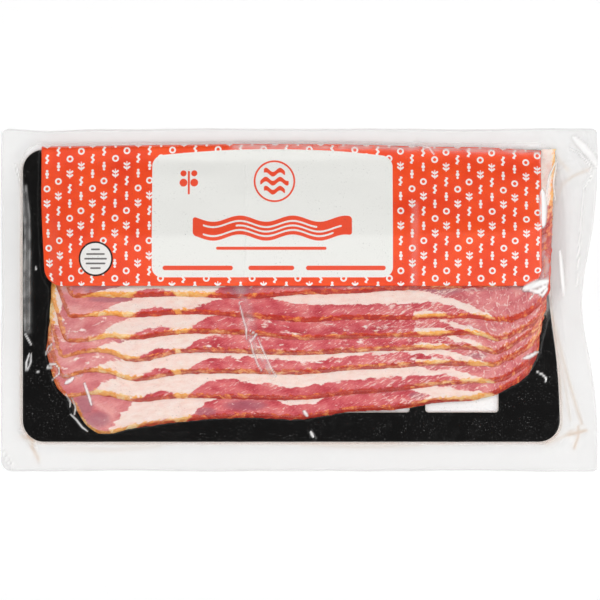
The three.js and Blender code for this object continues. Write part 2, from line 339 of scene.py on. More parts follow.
def flap_top(x, y):
    """Upper face of the flap, without its fold."""
    above = np.clip(LAST + LAYERS - shingle_at(x, y), 0, LAYERS)
    on_stack = SLICE_FLOOR + end_height(x) * (LAYER_HEIGHT * above + SLICE_THICKNESS) + FLAP_CLEARANCE
    droop = ease(DROOP_FROM - x, 0, DROOP_FROM - FLAP["left"])
    rests = lerp(on_stack, np.minimum(on_stack, FLAP["droop_to"]), droop)
    fold_top = CARD_BOTTOM + 2 * FOLD_RADIUS
    to_fold = np.clip((y - fold_bow(x) - FOLD_FROM) / (FOLD_Y - FOLD_FROM), 0, 1)
    rests = lerp(rests, fold_top, to_fold * to_fold)
    return np.maximum(rests, stack_top(x, y) + GAP) + CARD_THICKNESS


# Making meshes


def mesh_object(name, points, faces, smooth=True):
    mesh = bpy.data.meshes.new(name)
    mesh.from_pydata((np.asarray(points, float) * MM).tolist(), [], faces)
    mesh.validate()
    mesh.polygons.foreach_set("use_smooth", [smooth] * len(mesh.polygons))
    made = bpy.data.objects.new(name, mesh)
    bpy.context.scene.collection.objects.link(made)
    return made


def paint(piece, **values):
    """Stores a number or a vector for each point, for the material to read."""
    for name, value in values.items():
        kind = "FLOAT_VECTOR" if value.shape[-1:] == (3,) else "FLOAT"
        attribute = piece.data.attributes.new(name, kind, "POINT")
        field = "vector" if kind == "FLOAT_VECTOR" else "value"
        attribute.data.foreach_set(field, np.ascontiguousarray(value, np.float32).ravel())


def grid_faces(rows, columns, start=0, flip=False):
    j, i = np.meshgrid(np.arange(rows - 1), np.arange(columns - 1), indexing="ij")
    a = (start + j * columns + i).ravel()
    quads = np.stack([a, a + 1, a + 1 + columns, a + columns], 1)
    return (quads[:, ::-1] if flip else quads).tolist()


def rim_of(rows, columns):
    """Indices round the border of a grid, counter-clockwise."""
    last = rows * columns
    return [
        *range(columns),
        *range(2 * columns - 1, last, columns),
        *range(last - 2, last - columns - 1, -1),
        *range(last - 2 * columns, 0, -columns),
    ]


def slab(name, lower, upper):
    """A closed piece between two grids of points, rows by columns by 3, whose borders are joined."""
    rows, columns, _ = upper.shape
    count = rows * columns
    points = np.concatenate([lower.reshape(-1, 3), upper.reshape(-1, 3)])
    faces = grid_faces(rows, columns, flip=True) + grid_faces(rows, columns, start=count)
    rim = rim_of(rows, columns)
    for a, b in zip(rim, rim[1:] + rim[:1]):
        faces.append([a, b, b + count, a + count])
    return mesh_object(name, points, faces)


# Nodes


def add(tree, kind, inputs=(), stops=(), **settings):
    """Adds one node: its properties, its sockets as values or links, and a ramp's or curve's stops."""
    made = tree.nodes.new("ShaderNode" + kind)
    for name, value in settings.items():
        setattr(made, name, value)
    if kind == "ValToRGB":
        ramp = made.color_ramp
        while len(ramp.elements) < len(stops):
            ramp.elements.new(1)
        for element, (place, colour) in zip(ramp.elements, stops):
            element.position = place
            element.color = linear(colour)
    for key, value in dict(inputs).items():
        if isinstance(value, bpy.types.Node):
            value = next(o for o in value.outputs if o.enabled)
        if isinstance(value, bpy.types.NodeSocket):
            tree.links.new(value, made.inputs[key])
        else:
            made.inputs[key].default_value = value
    return made


def new_material(name):
    made = bpy.data.materials.new(name)
    made.use_nodes = True
    made.node_tree.nodes.clear()
    return made, made.node_tree


def blend_colours(tree, share, first, second):
    """The first colour where share is 0 and the second where it is 1. Either may be hex or a node."""
    inputs = {"Factor": share}
    for key, colour in ((6, first), (7, second)):
        inputs[key] = linear(colour) if isinstance(colour, str) else colour
    return add(tree, "Mix", inputs, data_type="RGBA")


def edge_mask(tree, distance, softness):
    """1 where a distance in millimetres is above 0, over a soft edge of that width."""
    return add(
        tree,
        "MapRange",
        {"Value": distance, "From Min": -softness / 2, "From Max": softness / 2},
        interpolation_type="SMOOTHSTEP",
    )


# Cured and smoked pork belly

# How the belly is layered: at photo columns, the photo rows above a slice's lower edge up to which
# its lower muscle reaches, for each slice from the front
LEAN_COLUMNS = (186, 198, 208, 222, 250, 290, 315, 345, 400, 436, 453, 466, 478)
LEAN_TOPS = (
    (1, 11, 18, 24, 26, 14.6, 15.5, 24, 24, 4, 3, 2, -2),
    (1, 12, 17.6, 19.4, 18, 13, 14, 13.2, 15.2, 12, 7, 2.5, -2),
    (6, 9.4, 14.5, 16.5, 16.5, 13, 13.5, 13.5, 14, 12, 6, 3, -2),
    (4, 14, 17, 20, 24, 24, 24, 24, 24, 20, 9, 6, 2),
    (1, 9.5, 15.5, 22, 26, 26, 26, 26, 24, 18, 8.5, 4, -1),
    (3, 8.5, 11, 18, 25, 18.8, 17, 15, 16.5, 17.5, 12.5, 8, 2),
    (-3, -2, 3, 12, 15, 15, 15, 15, 15, 12, 8, 4, 0),
)
# The fat seam above that muscle ends at these heights, and the next muscle begins
SEAM_COLUMNS = (184, 300, 400, 426, 450, 464, 478, 491, 500)
SEAM_TOP = (60, 40, 32, 19, 14.5, 10.5, 7.5, 2.5, -2)
HIGH_SEAM_TOP = (60, 40, 32, 27.7, 21, 15.8, 10.2, 4.2, -1)
HIGH_SEAMS = (5, 8)
ISLAND = {"from": 129, "to": 176, "skew": 1.35}
POCKET = {"column": 431, "half": 19, "height": 4.2, "top": 3.4}
# For each slice: shift of the pattern, where its left muscle ends at the lower edge and how that
# border leans, the island's height, and the pocket's strength
BELLY = (
    (0, 103, 1.1, 4.5, 0.2),
    (0, 88, 1.35, 7.6, 0.3),
    (0, 87, 2.0, 8.6, 0.8),
    (0, 87, 1.9, 8.4, 0.9),
    (0, 86, 2.0, 9.6, 1.0),
    (0, 83, 2.7, 8.6, 0.9),
    (0, 80, 3.4, 7.4, 0.4),
    (-4, 90, 2.0, 8.6, 1.0),
    (2, 88, 1.8, 7.8, 0.8),
    (-1, 92, 2.2, 8.6, 0.9),
)
# Grey-purple patches of cure: column, row, half width and half height in photo pixels
CURE_PATCHES = ((97, 419, 15, 9), (84, 405, 10, 12), (245, 405, 24, 6), (205, 412, 12, 6),
                (416, 395, 9, 4), (110, 299, 26, 3), (130, 341, 14, 2), (96, 290, 14, 4),
                (240, 292, 20, 6), (440, 291, 22, 4), (476, 355, 12, 3))
# The slices whose left ends are fat where they show below the flap, and from which height on
FATTY_ENDS = {2: -14, 3: -14, 4: -8}
RIND_ON_FAT = 5.4 * PX
RIND_ON_LEAN = 5.0 * PX
RIND_AT_LEFT = 4.0 * PX
RIND_AT_RIGHT = 6.0 * PX
RIND_BESIDE_FLAP = 3.0 * PX
# Where the look changes along a slice, as photo columns from and to
LOWER_MUSCLE_FROM = 180
LOWER_MUSCLE_TIP = 183
LEFT_SMOKED = (86, 94)
FRONT_SMOKED = (106, 114)
FRONT_TAIL = (174, 186)
FRONT_GOLDEN = ((70, 84), (104, 112))
RIGHT_SMOKED = (494, 506)
UPPER_PALE = (300, 440)
RIGHT_PALE = (486, 505)
MARBLING_RISES = ((290, 340), (360, 395))
MARBLING_ENDS = (462, 490)
NET_STARTS = (452, 476)
FATTY_END = (59, 63)
# Beside the flap the rind narrows and the last slice is fat, at these heights in millimetres
NARROW_RIND_UP = (44, 50)
FAT_CORNER = {"up": (45.5, 48.5), "along": (100, 108)}


def belly_fields(k, shingle, x, y):
    """What the slices' material reads: signed distances in millimetres, and shares from 0 to 1."""
    shift, muscle_from, muscle_lean, island, pocket = BELLY[k]
    column = x / PX + CENTRE_PX[0] - shift
    above = (y - seen_edge(k, x)) / PX
    wander = 1.5 * uneven(x + 57 * k, y, 11, 11) + 1.2 * uneven(x + 57 * k, y, 4, 12)
    above_w = above + wander
    lean_top = np.interp(column, LEAN_COLUMNS, LEAN_TOPS[k if k < len(LEAN_TOPS) else 5])
    seam_top = np.interp(column, SEAM_COLUMNS, HIGH_SEAM_TOP if k in HIGH_SEAMS else SEAM_TOP)
    lean = np.where(column > LOWER_MUSCLE_FROM, lean_top - above_w, -above_w - 4)
    lean = np.minimum(lean, (column - LOWER_MUSCLE_TIP) * 0.6 + 2)
    upper_lean = above_w - seam_top
    share = np.clip((column - ISLAND["from"]) / (ISLAND["to"] - ISLAND["from"]), 0, 1)
    rise = np.sqrt(np.sin(math.pi * share ** ISLAND["skew"]).clip(0, 1))
    island_lean = island * rise - 0.5 - above_w * 0.9
    left_lean = (muscle_from + muscle_lean * np.maximum(above, 0) - column + 2.2 * wander) * 0.45
    lean = np.maximum.reduce([lean, upper_lean, island_lean, left_lean])
    lens = 1 - ((column - POCKET["column"]) / POCKET["half"]) ** 2
    off = np.abs(above_w - POCKET["height"] - 0.08 * (POCKET["column"] - column))
    pocket_fat = POCKET["top"] * pocket * np.sign(lens) * np.sqrt(np.abs(lens)) - off
    fat = np.maximum(-lean, pocket_fat) * PX

    left_share = 1 - ease(column, *LEFT_SMOKED)
    if k == 0:
        left_share = np.maximum(1 - ease(column, *FRONT_SMOKED), 0.7 * (1 - ease(column, *FRONT_TAIL)))
        starts, ends = FRONT_GOLDEN
        left_share = left_share + 0.75 * ease(column, *starts) * (1 - ease(column, *ends))
    width = lerp(RIND_ON_LEAN, RIND_ON_FAT, ease(fat, -0.3, 0.6))
    width = lerp(width, RIND_AT_LEFT, left_share)
    at_right = lerp(RIND_AT_RIGHT, RIND_BESIDE_FLAP, ease(y, *NARROW_RIND_UP))
    width = lerp(width, at_right, ease(column, *RIGHT_SMOKED))
    rind = width - rind_distance(k, shingle, x, y)

    pale = ease(left_lean, -2.0, 0.5)
    pale = np.maximum(pale, 0.7 * ease(upper_lean, -2, 2) * ease(column, *UPPER_PALE))
    pale = np.maximum(pale, 0.4 * ease(column, *RIGHT_PALE))
    first, second = MARBLING_RISES
    marbling = 0.62 + 0.08 * ease(column, *first) + 0.3 * ease(column, *second)
    marbling = marbling * (1 - 0.8 * ease(column, *MARBLING_ENDS)) * (1 - 0.6 * ease(left_lean, -2, 0))
    network = 0.9 * ease(column, *NET_STARTS) * (0.35 + 0.65 * ease(above, 3, 8))
    cure = np.zeros_like(x)
    for patch_column, patch_row, half, high in CURE_PATCHES:
        px, py = spots((patch_column, patch_row))
        away = np.hypot((x - px) / (half * PX), (y - py) / (high * PX))
        cure = np.maximum(cure, 1 - ease(away, 0.55, 1.15))
    if k in FATTY_ENDS:
        low = FATTY_ENDS[k]
        fat = np.maximum(fat, 2.5 * ease(y, low, low + 5) * (1 - ease(column, *FATTY_END)) - 0.5)
    if k == LAST:
        corner = ease(y, *FAT_CORNER["up"]) * ease(x, *FAT_CORNER["along"])
        fat = np.maximum(fat, 3 * corner - 0.4)
    # Along the swept right end the edge climbs steeply, so the pattern is packed closer there
    along = x + 41 * k + 1.3 * np.maximum(0, x - 95)
    grain = np.stack([along, y - seen_edge(k, x), np.full_like(x, 13.0 * k)], -1)
    return {
        "fat": fat, "rind": rind, "pale": pale, "marbling": marbling,
        "network": network, "cure": cure, "grain": grain, "golden": left_share,
    }


def stretched_noise(tree, place, stretch, detail, roughness=0.5, distortion=0.0):
    """Uneven lumps that are longer one way: stretch is how many fit in a millimetre each way."""
    stretched = add(tree, "VectorMath", {0: place, 1: stretch}, operation="MULTIPLY")
    return add(
        tree, "TexNoise",
        {
            "Vector": stretched, "Scale": 1, "Detail": detail, "Roughness": roughness,
            "Distortion": distortion,
        },
    )


def white_in_lean(tree, grain, slanted, drifts, read):
    """How white the lean is with fat: slanting streaks, and a fine net where muscles meet."""
    # Marbling: slanting streaks 4 mm long and under a millimetre wide, in drifts
    streaks = stretched_noise(tree, slanted, (0.3, 1.2, 1), detail=5, roughness=0.66, distortion=0.6)
    drift = add(tree, "MapRange", {"Value": drifts.outputs["Fac"], "To Min": 0.11, "To Max": -0.11})
    streak_level = add(
        tree, "MapRange", {"Value": read["marbling"], "To Min": 0.735, "To Max": 0.56}
    )
    drifting = add(tree, "Math", {0: streak_level, 1: drift}, operation="ADD")
    over = add(tree, "Math", {0: streaks.outputs["Fac"], 1: drifting}, operation="SUBTRACT")
    streak_mask = edge_mask(tree, over, 0.07)

    # Where muscles meet at the right end, fat runs in a fine net with stars at its knots
    net_place = add(tree, "VectorMath", {0: grain, 1: (0.2, 0.27, 1)}, operation="MULTIPLY")
    bent = add(tree, "TexNoise", {"Vector": net_place, "Scale": 2.3, "Detail": 2})
    bend = add(tree, "VectorMath", {0: bent.outputs["Color"], 1: (0.6, 0.6, 0)}, operation="MULTIPLY")
    net_bent = add(tree, "VectorMath", {0: net_place, 1: bend}, operation="ADD")
    net = add(
        tree, "TexVoronoi", {"Vector": net_bent, "Scale": 1, "Randomness": 0.9},
        feature="DISTANCE_TO_EDGE",
    )
    net_width = add(
        tree, "MapRange",
        {"Value": bent.outputs["Fac"], "From Min": 0.38, "From Max": 0.7, "To Min": -0.03, "To Max": 0.08},
    )
    thread = add(tree, "Math", {0: net_width, 1: net.outputs["Distance"]}, operation="SUBTRACT")
    thread_mask = edge_mask(tree, thread, 0.05)
    net_mask = add(tree, "Math", {0: thread_mask, 1: read["network"]}, operation="MULTIPLY")
    marbled = add(tree, "Math", {0: streak_mask, 1: net_mask}, operation="MAXIMUM")
    return add(tree, "Math", {0: marbled, 1: 0.8}, operation="MULTIPLY")


def cured_lean(tree, fibres, drifts, read):
    """Lean in muscles that took the cure unevenly: red, paler, or grey-purple in patches."""
    muscle = add(
        tree, "Math", {0: drifts.outputs["Fac"], 1: 0.9, 2: -0.2}, operation="MULTIPLY_ADD"
    )
    lean_tone = add(
        tree, "Math", {0: fibres.outputs["Fac"], 1: 0.6, 2: muscle}, operation="MULTIPLY_ADD"
    )
    red_lean = add(
        tree, "ValToRGB", {"Fac": lean_tone},
        stops=((0.34, "#BE3E49"), (0.52, "#D5636A"), (0.72, "#E48786")),
    )
    pale_lean = add(
        tree, "ValToRGB", {"Fac": lean_tone},
        stops=((0.34, "#CE7377"), (0.52, "#DC8A8C"), (0.72, "#E9A9A5")),
    )
    lean = blend_colours(tree, read["pale"], red_lean, pale_lean)
    cure_share = add(tree, "Math", {0: read["cure"], 1: 0.5}, operation="MULTIPLY")
    return blend_colours(tree, cure_share, lean, "#93697A")


def smoked_outside(tree, grain, flecks, fat_edge, golden):
    """Golden over fat and red-brown over lean, in blocks and flecks."""
    block_place = add(tree, "VectorMath", {0: grain, 1: (0.22, 0.3, 1)}, operation="MULTIPLY")
    blocks = add(tree, "TexVoronoi", {"Vector": block_place, "Scale": 1}, feature="F1")
    block = add(tree, "SeparateXYZ", {"Vector": blocks.outputs["Color"]})
    smoke = add(
        tree, "Math", {0: block.outputs["X"], 1: 0.42, 2: flecks.outputs["Fac"]}, operation="MULTIPLY_ADD"
    )
    smoke = add(tree, "Math", {0: smoke, 1: 0.72}, operation="MULTIPLY")
    on_lean = add(
        tree, "ValToRGB", {"Fac": smoke},
        stops=((0.4, "#B82E22"), (0.57, "#CE422C"), (0.65, "#DE6C3C"), (0.72, "#F0A058")),
    )
    on_fat = add(
        tree, "ValToRGB", {"Fac": smoke},
        stops=((0.38, "#F2A048"), (0.52, "#F9BC6A"), (0.68, "#FBD8A4")),
    )
    on_end = add(
        tree, "ValToRGB", {"Fac": smoke},
        stops=((0.38, "#C2522A"), (0.54, "#DA7040"), (0.7, "#F0A664")),
    )
    soft_fat = edge_mask(tree, fat_edge, 1.6)
    smoked_lean = blend_colours(tree, golden, on_lean, on_end)
    # Above 1 the lean is smoked golden too, as at the front slice's corner
    more = add(tree, "Math", {0: golden, 1: 1}, operation="SUBTRACT", use_clamp=True)
    smoked_lean = blend_colours(tree, more, smoked_lean, on_fat)
    return blend_colours(tree, soft_fat, smoked_lean, on_fat)


def smoked_pork_belly():
    """Sliced, dry-cured and smoked pork belly, moist under film: soft pink to red lean with a short
    fibre, creamy fat, white marbling, and a smoked outside, golden on fat and red-brown on lean.
    Light goes about a millimetre into it, which softens every edge."""
    made, tree = new_material("smoked pork belly")
    fields = {
        name: add(tree, "Attribute", attribute_name=name)
        for name in ("fat", "rind", "pale", "marbling", "network", "cure", "golden", "grain")
    }
    read = {name: made_by.outputs["Fac"] for name, made_by in fields.items()}
    grain = fields["grain"].outputs["Vector"]

    # Fat seams wander by a millimetre over a few millimetres
    wander = stretched_noise(tree, grain, (0.2, 0.45, 1), detail=5, roughness=0.62)
    wander_mm = add(tree, "MapRange", {"Value": wander.outputs["Fac"], "To Min": -2.2, "To Max": 2.2})
    fat_edge = add(tree, "Math", {0: read["fat"], 1: wander_mm}, operation="ADD")
    fat_band = edge_mask(tree, fat_edge, 0.55)

    slanted = add(
        tree, "VectorRotate", {"Vector": grain, "Angle": math.radians(-24)}, rotation_type="Z_AXIS"
    )
    drifts = stretched_noise(tree, grain, (0.09, 0.16, 1), detail=1)
    marbled = white_in_lean(tree, grain, slanted, drifts, read)
    fatty = add(tree, "Math", {0: fat_band, 1: marbled}, operation="MAXIMUM")

    # Lean: fibres about a millimetre apart
    fibres = stretched_noise(tree, slanted, (0.5, 1.5, 1), detail=5, roughness=0.65)
    cured = cured_lean(tree, fibres, drifts, read)
    fat_tone = add(
        tree, "ValToRGB", {"Fac": wander.outputs["Fac"]},
        stops=((0.28, "#F0CFC4"), (0.5, "#F5DFD6"), (0.75, "#F9EAE3")),
    )
    cut_face = blend_colours(tree, fatty, cured, fat_tone)

    # Smoke darkens the outside in flecks 3 mm long
    flecks = stretched_noise(tree, grain, (0.4, 0.7, 1), detail=4, roughness=0.6)
    rind = smoked_outside(tree, grain, flecks, fat_edge, read["golden"])
    rind_wander = add(
        tree, "MapRange", {"Value": flecks.outputs["Fac"], "To Min": -2.4, "To Max": 2.4}
    )
    rind_edge = add(tree, "Math", {0: read["rind"], 1: rind_wander}, operation="ADD")
    rind_mask = edge_mask(tree, rind_edge, 0.7)
    colour = blend_colours(tree, rind_mask, cut_face, rind)

    ridges = add(
        tree, "Bump", {"Height": fibres.outputs["Fac"], "Strength": 0.5, "Distance": 0.15 * MM}
    )
    shader = add(
        tree, "BsdfPrincipled",
        {
            "Base Color": colour, "Roughness": 0.45, "IOR": 1.4, "Normal": ridges,
            "Subsurface Weight": 0.4, "Subsurface Radius": (1.0, 0.45, 0.35), "Subsurface Scale": 1.1 * MM,
        },
    )
    add(tree, "OutputMaterial", {"Surface": shader})
    return made


SLICE_ROWS = (0, 0.012, 0.03, 0.055, 0.085, 0.12, 0.16, 0.21, 0.27, 0.34, 0.42, 0.5, 0.58, 0.66, 0.74,
              0.82, 0.9, 1, 1.1, 1.22, 1.4, 1.65, 2, 2.5, 3, 3.5, 3.85, 3.93, 3.98, 4)
SLICE_COLUMNS = 300
END_STEPS = (0, 0.15, 0.4, 0.75, 1.2, 1.7, 2.3)
CORNER_REACH = 4.6
EDGE_MOVES = 1.2  # in shingles


def moved_edge(k, x, behind):
    """How far a slice's surface is moved with its lower edge, less and less behind it."""
    return (seen_edge(k, x) - edge_level(k, x)) * (1 - ease(behind, 0, EDGE_MOVES))


def make_slice(k, finish):
    """One slice: a long slab that leans on the four before it, round at its smoked outline."""
    shingle, step = np.meshgrid(k + np.array(SLICE_ROWS), np.arange(SLICE_COLUMNS), indexing="ij")
    left = left_end(k, shingle, shingle_y(shingle, np.full(shingle.shape, SLICES[k][1] - 4)))
    right = right_end(shingle_y(shingle, np.full(shingle.shape, SLICES[k][3])))
    ends = len(END_STEPS) - 1
    middle = (step - ends) / (SLICE_COLUMNS - 1 - 2 * ends)
    x = lerp(left + END_STEPS[-1], right - END_STEPS[-1], middle)
    for i, inward in enumerate(END_STEPS[:-1]):
        x[:, i] = left[:, i] + inward
        x[:, -1 - i] = right[:, -1 - i] - inward
    behind = shingle - k
    y = shingle_y(shingle, x) + moved_edge(k, x, behind)
    corners = ((left, 1, 0, CORNER if k else FRONT_CORNER), (right, -1, -1, RIGHT_CORNER))
    for end, side, column, radius in corners:
        above = np.clip(y[:, [column]] - seen_edge(k, x)[:1, [column]], 0, radius)
        rounding = radius - np.sqrt(radius**2 - (radius - above) ** 2)
        x = x + side * rounding * (1 - ease(side * (x - end), 0, 5 * radius))
    tooth = TOOTH * (uneven(x + 23 * k, 0 * x, 2.3, 21) + 0.6 * uneven(x + 23 * k, 0 * x, 0.9, 22))
    end_tooth = TOOTH * 1.2 * uneven(0 * x, shingle * 10 + 7 * k, 2.1, 23)
    near_edge = 1 - ease(behind, 0, 0.3)
    tooth = tooth * near_edge * (0.7 + 0.8 * ease(x, *TOOTH_GROWS))
    y = shingle_y(shingle, x) + moved_edge(k, x, behind) + tooth
    x = x + end_tooth * (1 - ease(x - left, 0, 2.5)) * (k > 0)
    x = x + end_tooth * (1 - ease(right - x, 0, 2.5))
    # The last slice's corner beside the flap reaches up to the fold
    y = y + (k == LAST) * CORNER_REACH * ease(x, 116, 120) * ease(behind, 2.6, LAYERS)
    lies = np.clip(shingle_at(x, y), k - FRONT_REACH, k + LAYERS)
    low = slice_bottom(k, lies, x)
    high = np.maximum(slice_top(k, lies, x, y), low + 0.12)
    piece = slab(f"bacon_slice_{k + 1:02d}", np.stack([x, y, low], -1), np.stack([x, y, high], -1))
    fields = belly_fields(k, shingle, x, y)
    paint(
        piece,
        **{
            name: np.concatenate([value.reshape(x.size, -1).squeeze()] * 2)
            for name, value in fields.items()
        },
    )
    piece.data.materials.append(finish)
    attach(piece, "root")
    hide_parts(f"slice_{k + 1:02d}")
    return piece


# The card

FLAP_COLUMNS = 200
FLAP_ROWS = 96
FOLD_STEPS = 14


def to_rounded_corner(u, v):
    """A place in a unit square, moved into the quarter disc; the square's inner sides stay."""
    return u * np.sqrt(1 - v**2 / 2), v * np.sqrt(1 - u**2 / 2)


def round_corners(x, y, box, corners):
    """Moves a rectangular grid's corners onto arcs. Each corner has its own radius."""
    for (side_x, side_y), radius in corners.items():
        cx = box["right"] - radius if side_x > 0 else box["left"] + radius
        cy = box["top"] - radius if side_y > 0 else box["bottom"] + radius
        u, v = (x - cx) * side_x / radius, (y - cy) * side_y / radius
        near = (u > 0) & (v > 0)
        ru, rv = to_rounded_corner(np.clip(u, 0, 1), np.clip(v, 0, 1))
        x = np.where(near, cx + side_x * ru * radius, x)
        y = np.where(near, cy + side_y * rv * radius, y)
    return x, y


def coated_board(name, side):
    """Solid bleached board with a clay coat, gloss-laminated: even colour, a soft sheen, and on
    large areas a very slight unevenness of the ink. side is black, printed or cut."""
    made, tree = new_material(name)
    place = add(tree, "Attribute", attribute_name="print_place").outputs["Vector"]
    ink = add(tree, "TexNoise", {"Vector": place, "Scale": 0.06, "Detail": 4, "Roughness": 0.6})
    if side == "black":
        colour = add(
            tree, "ValToRGB", {"Fac": ink.outputs["Fac"]},
            stops=((0.3, "#080707"), (0.7, "#0D0C0C")),
        )
        roughness = 0.3
    elif side == "cut":
        colour = add(
            tree, "ValToRGB", {"Fac": ink.outputs["Fac"]},
            stops=((0.3, "#CFC6BE"), (0.7, "#E2DBD3")),
        )
        roughness = 0.8
    else:
        colour = printed_colour(tree, place, ink)
        roughness = 0.4
    shader = add(
        tree, "BsdfPrincipled",
        {"Base Color": colour, "Roughness": roughness, "IOR": 1.5},
    )
    add(tree, "OutputMaterial", {"Surface": shader})
    return made


# The print, in millimetres from the flap's lower left corner
COLUMN_PITCH = 5.6
ROW_PITCH = 7.4
PANEL = {"x": 113.5, "y": 34.0, "half_width": 59.0, "half_height": 29.8, "corner": 5}
PANEL_BOW = 2.9
STAMP = {"x": 26.9, "y": 13.3, "radius": 8.55, "ring": 0.85}
# Plain bars with round ends: centre, half width and half height
PANEL_BARS = ((113.0, 18.4, 27.0, 0.75), (77.0, 8.8, 17.2, 1.1), (113.0, 8.8, 11.2, 1.1),
              (149.5, 8.8, 19.5, 1.1))
RIBBON = {"x": 113.5, "y": 28.2, "half_width": 39, "half_height": 4.6, "wave": 26, "swing": 1.5}
# Lines in the stamp: height above its middle and half width
STAMP_LINES = ((4.6, 2.2), (2.3, 4.6), (0, 5.6), (-2.3, 4.9), (-4.6, 2.6))
STAMP_LINE_HALF = 0.42
EMBLEM = {"x": 114.5, "y": 51.0, "radius": 9.75, "half_ring": 0.45}
EMBLEM_STRIPS = ((4.4, 5.2), (0, 7.0), (-4.4, 5.2))
SPRIG = {"x": 72.5, "y": 50.5, "size": 2.4}


def rounded_bar(tree, place, x, y, half_width, half_height, radius):
    """Distance in millimetres inside a printed bar with rounded ends."""
    off = add(tree, "VectorMath", {0: place, 1: (x, y, 0)}, operation="SUBTRACT")
    away = add(tree, "VectorMath", {0: off}, operation="ABSOLUTE")
    core = (half_width - radius, half_height - radius, 100)
    past = add(tree, "VectorMath", {0: away, 1: core}, operation="SUBTRACT")
    outside = add(tree, "VectorMath", {0: past, 1: (0, 0, 0)}, operation="MAXIMUM")
    length = add(tree, "VectorMath", {0: outside}, operation="LENGTH")
    return add(tree, "Math", {0: radius, 1: length.outputs["Value"]}, operation="SUBTRACT")


def disc(tree, place, x, y, radius):
    """Distance in millimetres inside a printed disc."""
    away = add(tree, "VectorMath", {0: place, 1: (x, y, 0)}, operation="DISTANCE")
    return add(tree, "Math", {0: radius, 1: away.outputs["Value"]}, operation="SUBTRACT")


def hoop(tree, place, x, y, radius, half_width):
    """Distance in millimetres inside a printed ring. The radius is that of its middle line."""
    off_line = add(tree, "Math", {0: disc(tree, place, x, y, radius)}, operation="ABSOLUTE")
    return add(tree, "Math", {0: half_width, 1: off_line}, operation="SUBTRACT")


def together(tree, shapes, how="MAXIMUM"):
    joined = shapes[0]
    for shape in shapes[1:]:
        joined = add(tree, "Math", {0: joined, 1: shape}, operation=how)
    return joined


def leaf(tree, cell, side, up):
    """One slanting leaf of a sprig, on the left or right of its stem."""
    moved = add(tree, "VectorMath", {0: cell, 1: (side * 0.85, up, 0)}, operation="SUBTRACT")
    turned = add(
        tree, "VectorRotate", {"Vector": moved, "Angle": side * math.radians(-40)}, rotation_type="Z_AXIS"
    )
    return rounded_bar(tree, turned, 0, 0, 0.95, 0.46, 0.46)


def motif_pattern(tree, place):
    """Small plain motifs in a half-drop repeat: a wavy strip, a sprig, a ring and three dots."""
    cut = add(tree, "SeparateXYZ", {"Vector": place})
    across = add(tree, "Math", {0: cut.outputs["X"], 1: COLUMN_PITCH}, operation="DIVIDE")
    column = add(tree, "Math", {0: across}, operation="FLOOR")
    odd = add(tree, "Math", {0: column, 1: 2}, operation="FLOORED_MODULO")
    drop = add(tree, "Math", {0: odd, 1: 0.5}, operation="MULTIPLY")
    up = add(tree, "Math", {0: cut.outputs["Y"], 1: ROW_PITCH}, operation="DIVIDE")
    up_dropped = add(tree, "Math", {0: up, 1: drop}, operation="ADD")
    row = add(tree, "Math", {0: up_dropped}, operation="FLOOR")
    a_share = add(tree, "Math", {0: across, 1: column}, operation="SUBTRACT")
    b_share = add(tree, "Math", {0: up_dropped, 1: row}, operation="SUBTRACT")
    a = add(tree, "Math", {0: a_share, 1: COLUMN_PITCH, 2: -COLUMN_PITCH / 2}, operation="MULTIPLY_ADD")
    b = add(tree, "Math", {0: b_share, 1: ROW_PITCH, 2: -ROW_PITCH / 2}, operation="MULTIPLY_ADD")
    cell = add(tree, "CombineXYZ", {"X": a, "Y": b})

    swing = add(tree, "Math", {0: b, 1: 2 * math.pi / 2.3}, operation="MULTIPLY")
    wave = add(tree, "Math", {0: swing}, operation="SINE")
    bent = add(tree, "Math", {0: wave, 1: 0.38, 2: a}, operation="MULTIPLY_ADD")
    strip_place = add(tree, "CombineXYZ", {"X": bent, "Y": b})
    strip = rounded_bar(tree, strip_place, 0, 0, 0.62, 2.3, 0.45)
    leaves = [leaf(tree, cell, side, up) for side, up in ((1, 0.9), (-1, 0.9), (1, -0.9), (-1, -0.9))]
    sprig = together(tree, leaves + [rounded_bar(tree, cell, 0, 0, 0.22, 2.3, 0.2)])
    ring = hoop(tree, cell, 0, 0, 1.25, 0.42)
    dots = [disc(tree, cell, 0, up, size) for up, size in ((1.5, 0.62), (0, 0.9), (-1.6, 0.62))]
    dots = together(tree, dots)

    turn = add(tree, "Math", {0: column, 1: 3, 2: row}, operation="MULTIPLY_ADD")
    kind = add(tree, "Math", {0: turn, 1: 4}, operation="FLOORED_MODULO")
    chosen = None
    for number, shape in enumerate((strip, sprig, ring, dots)):
        is_it = add(tree, "Math", {0: kind, 1: number, 2: 0.5}, operation="COMPARE")
        shown = add(tree, "Math", {0: edge_mask(tree, shape, 0.25), 1: is_it}, operation="MULTIPLY")
        chosen = shown if chosen is None else together(tree, [chosen, shown])
    return chosen


def waving(tree, place, length, swing):
    """Print coordinates that sway up and down along the card, one sway in that many millimetres."""
    cut = add(tree, "SeparateXYZ", {"Vector": place})
    turn = add(tree, "Math", {0: cut.outputs["X"], 1: 2 * math.pi / length}, operation="MULTIPLY")
    wave = add(tree, "Math", {0: turn}, operation="SINE")
    lift = add(tree, "CombineXYZ", {"Y": add(tree, "Math", {0: wave, 1: swing}, operation="MULTIPLY")})
    return add(tree, "VectorMath", {0: place, 1: lift}, operation="ADD")


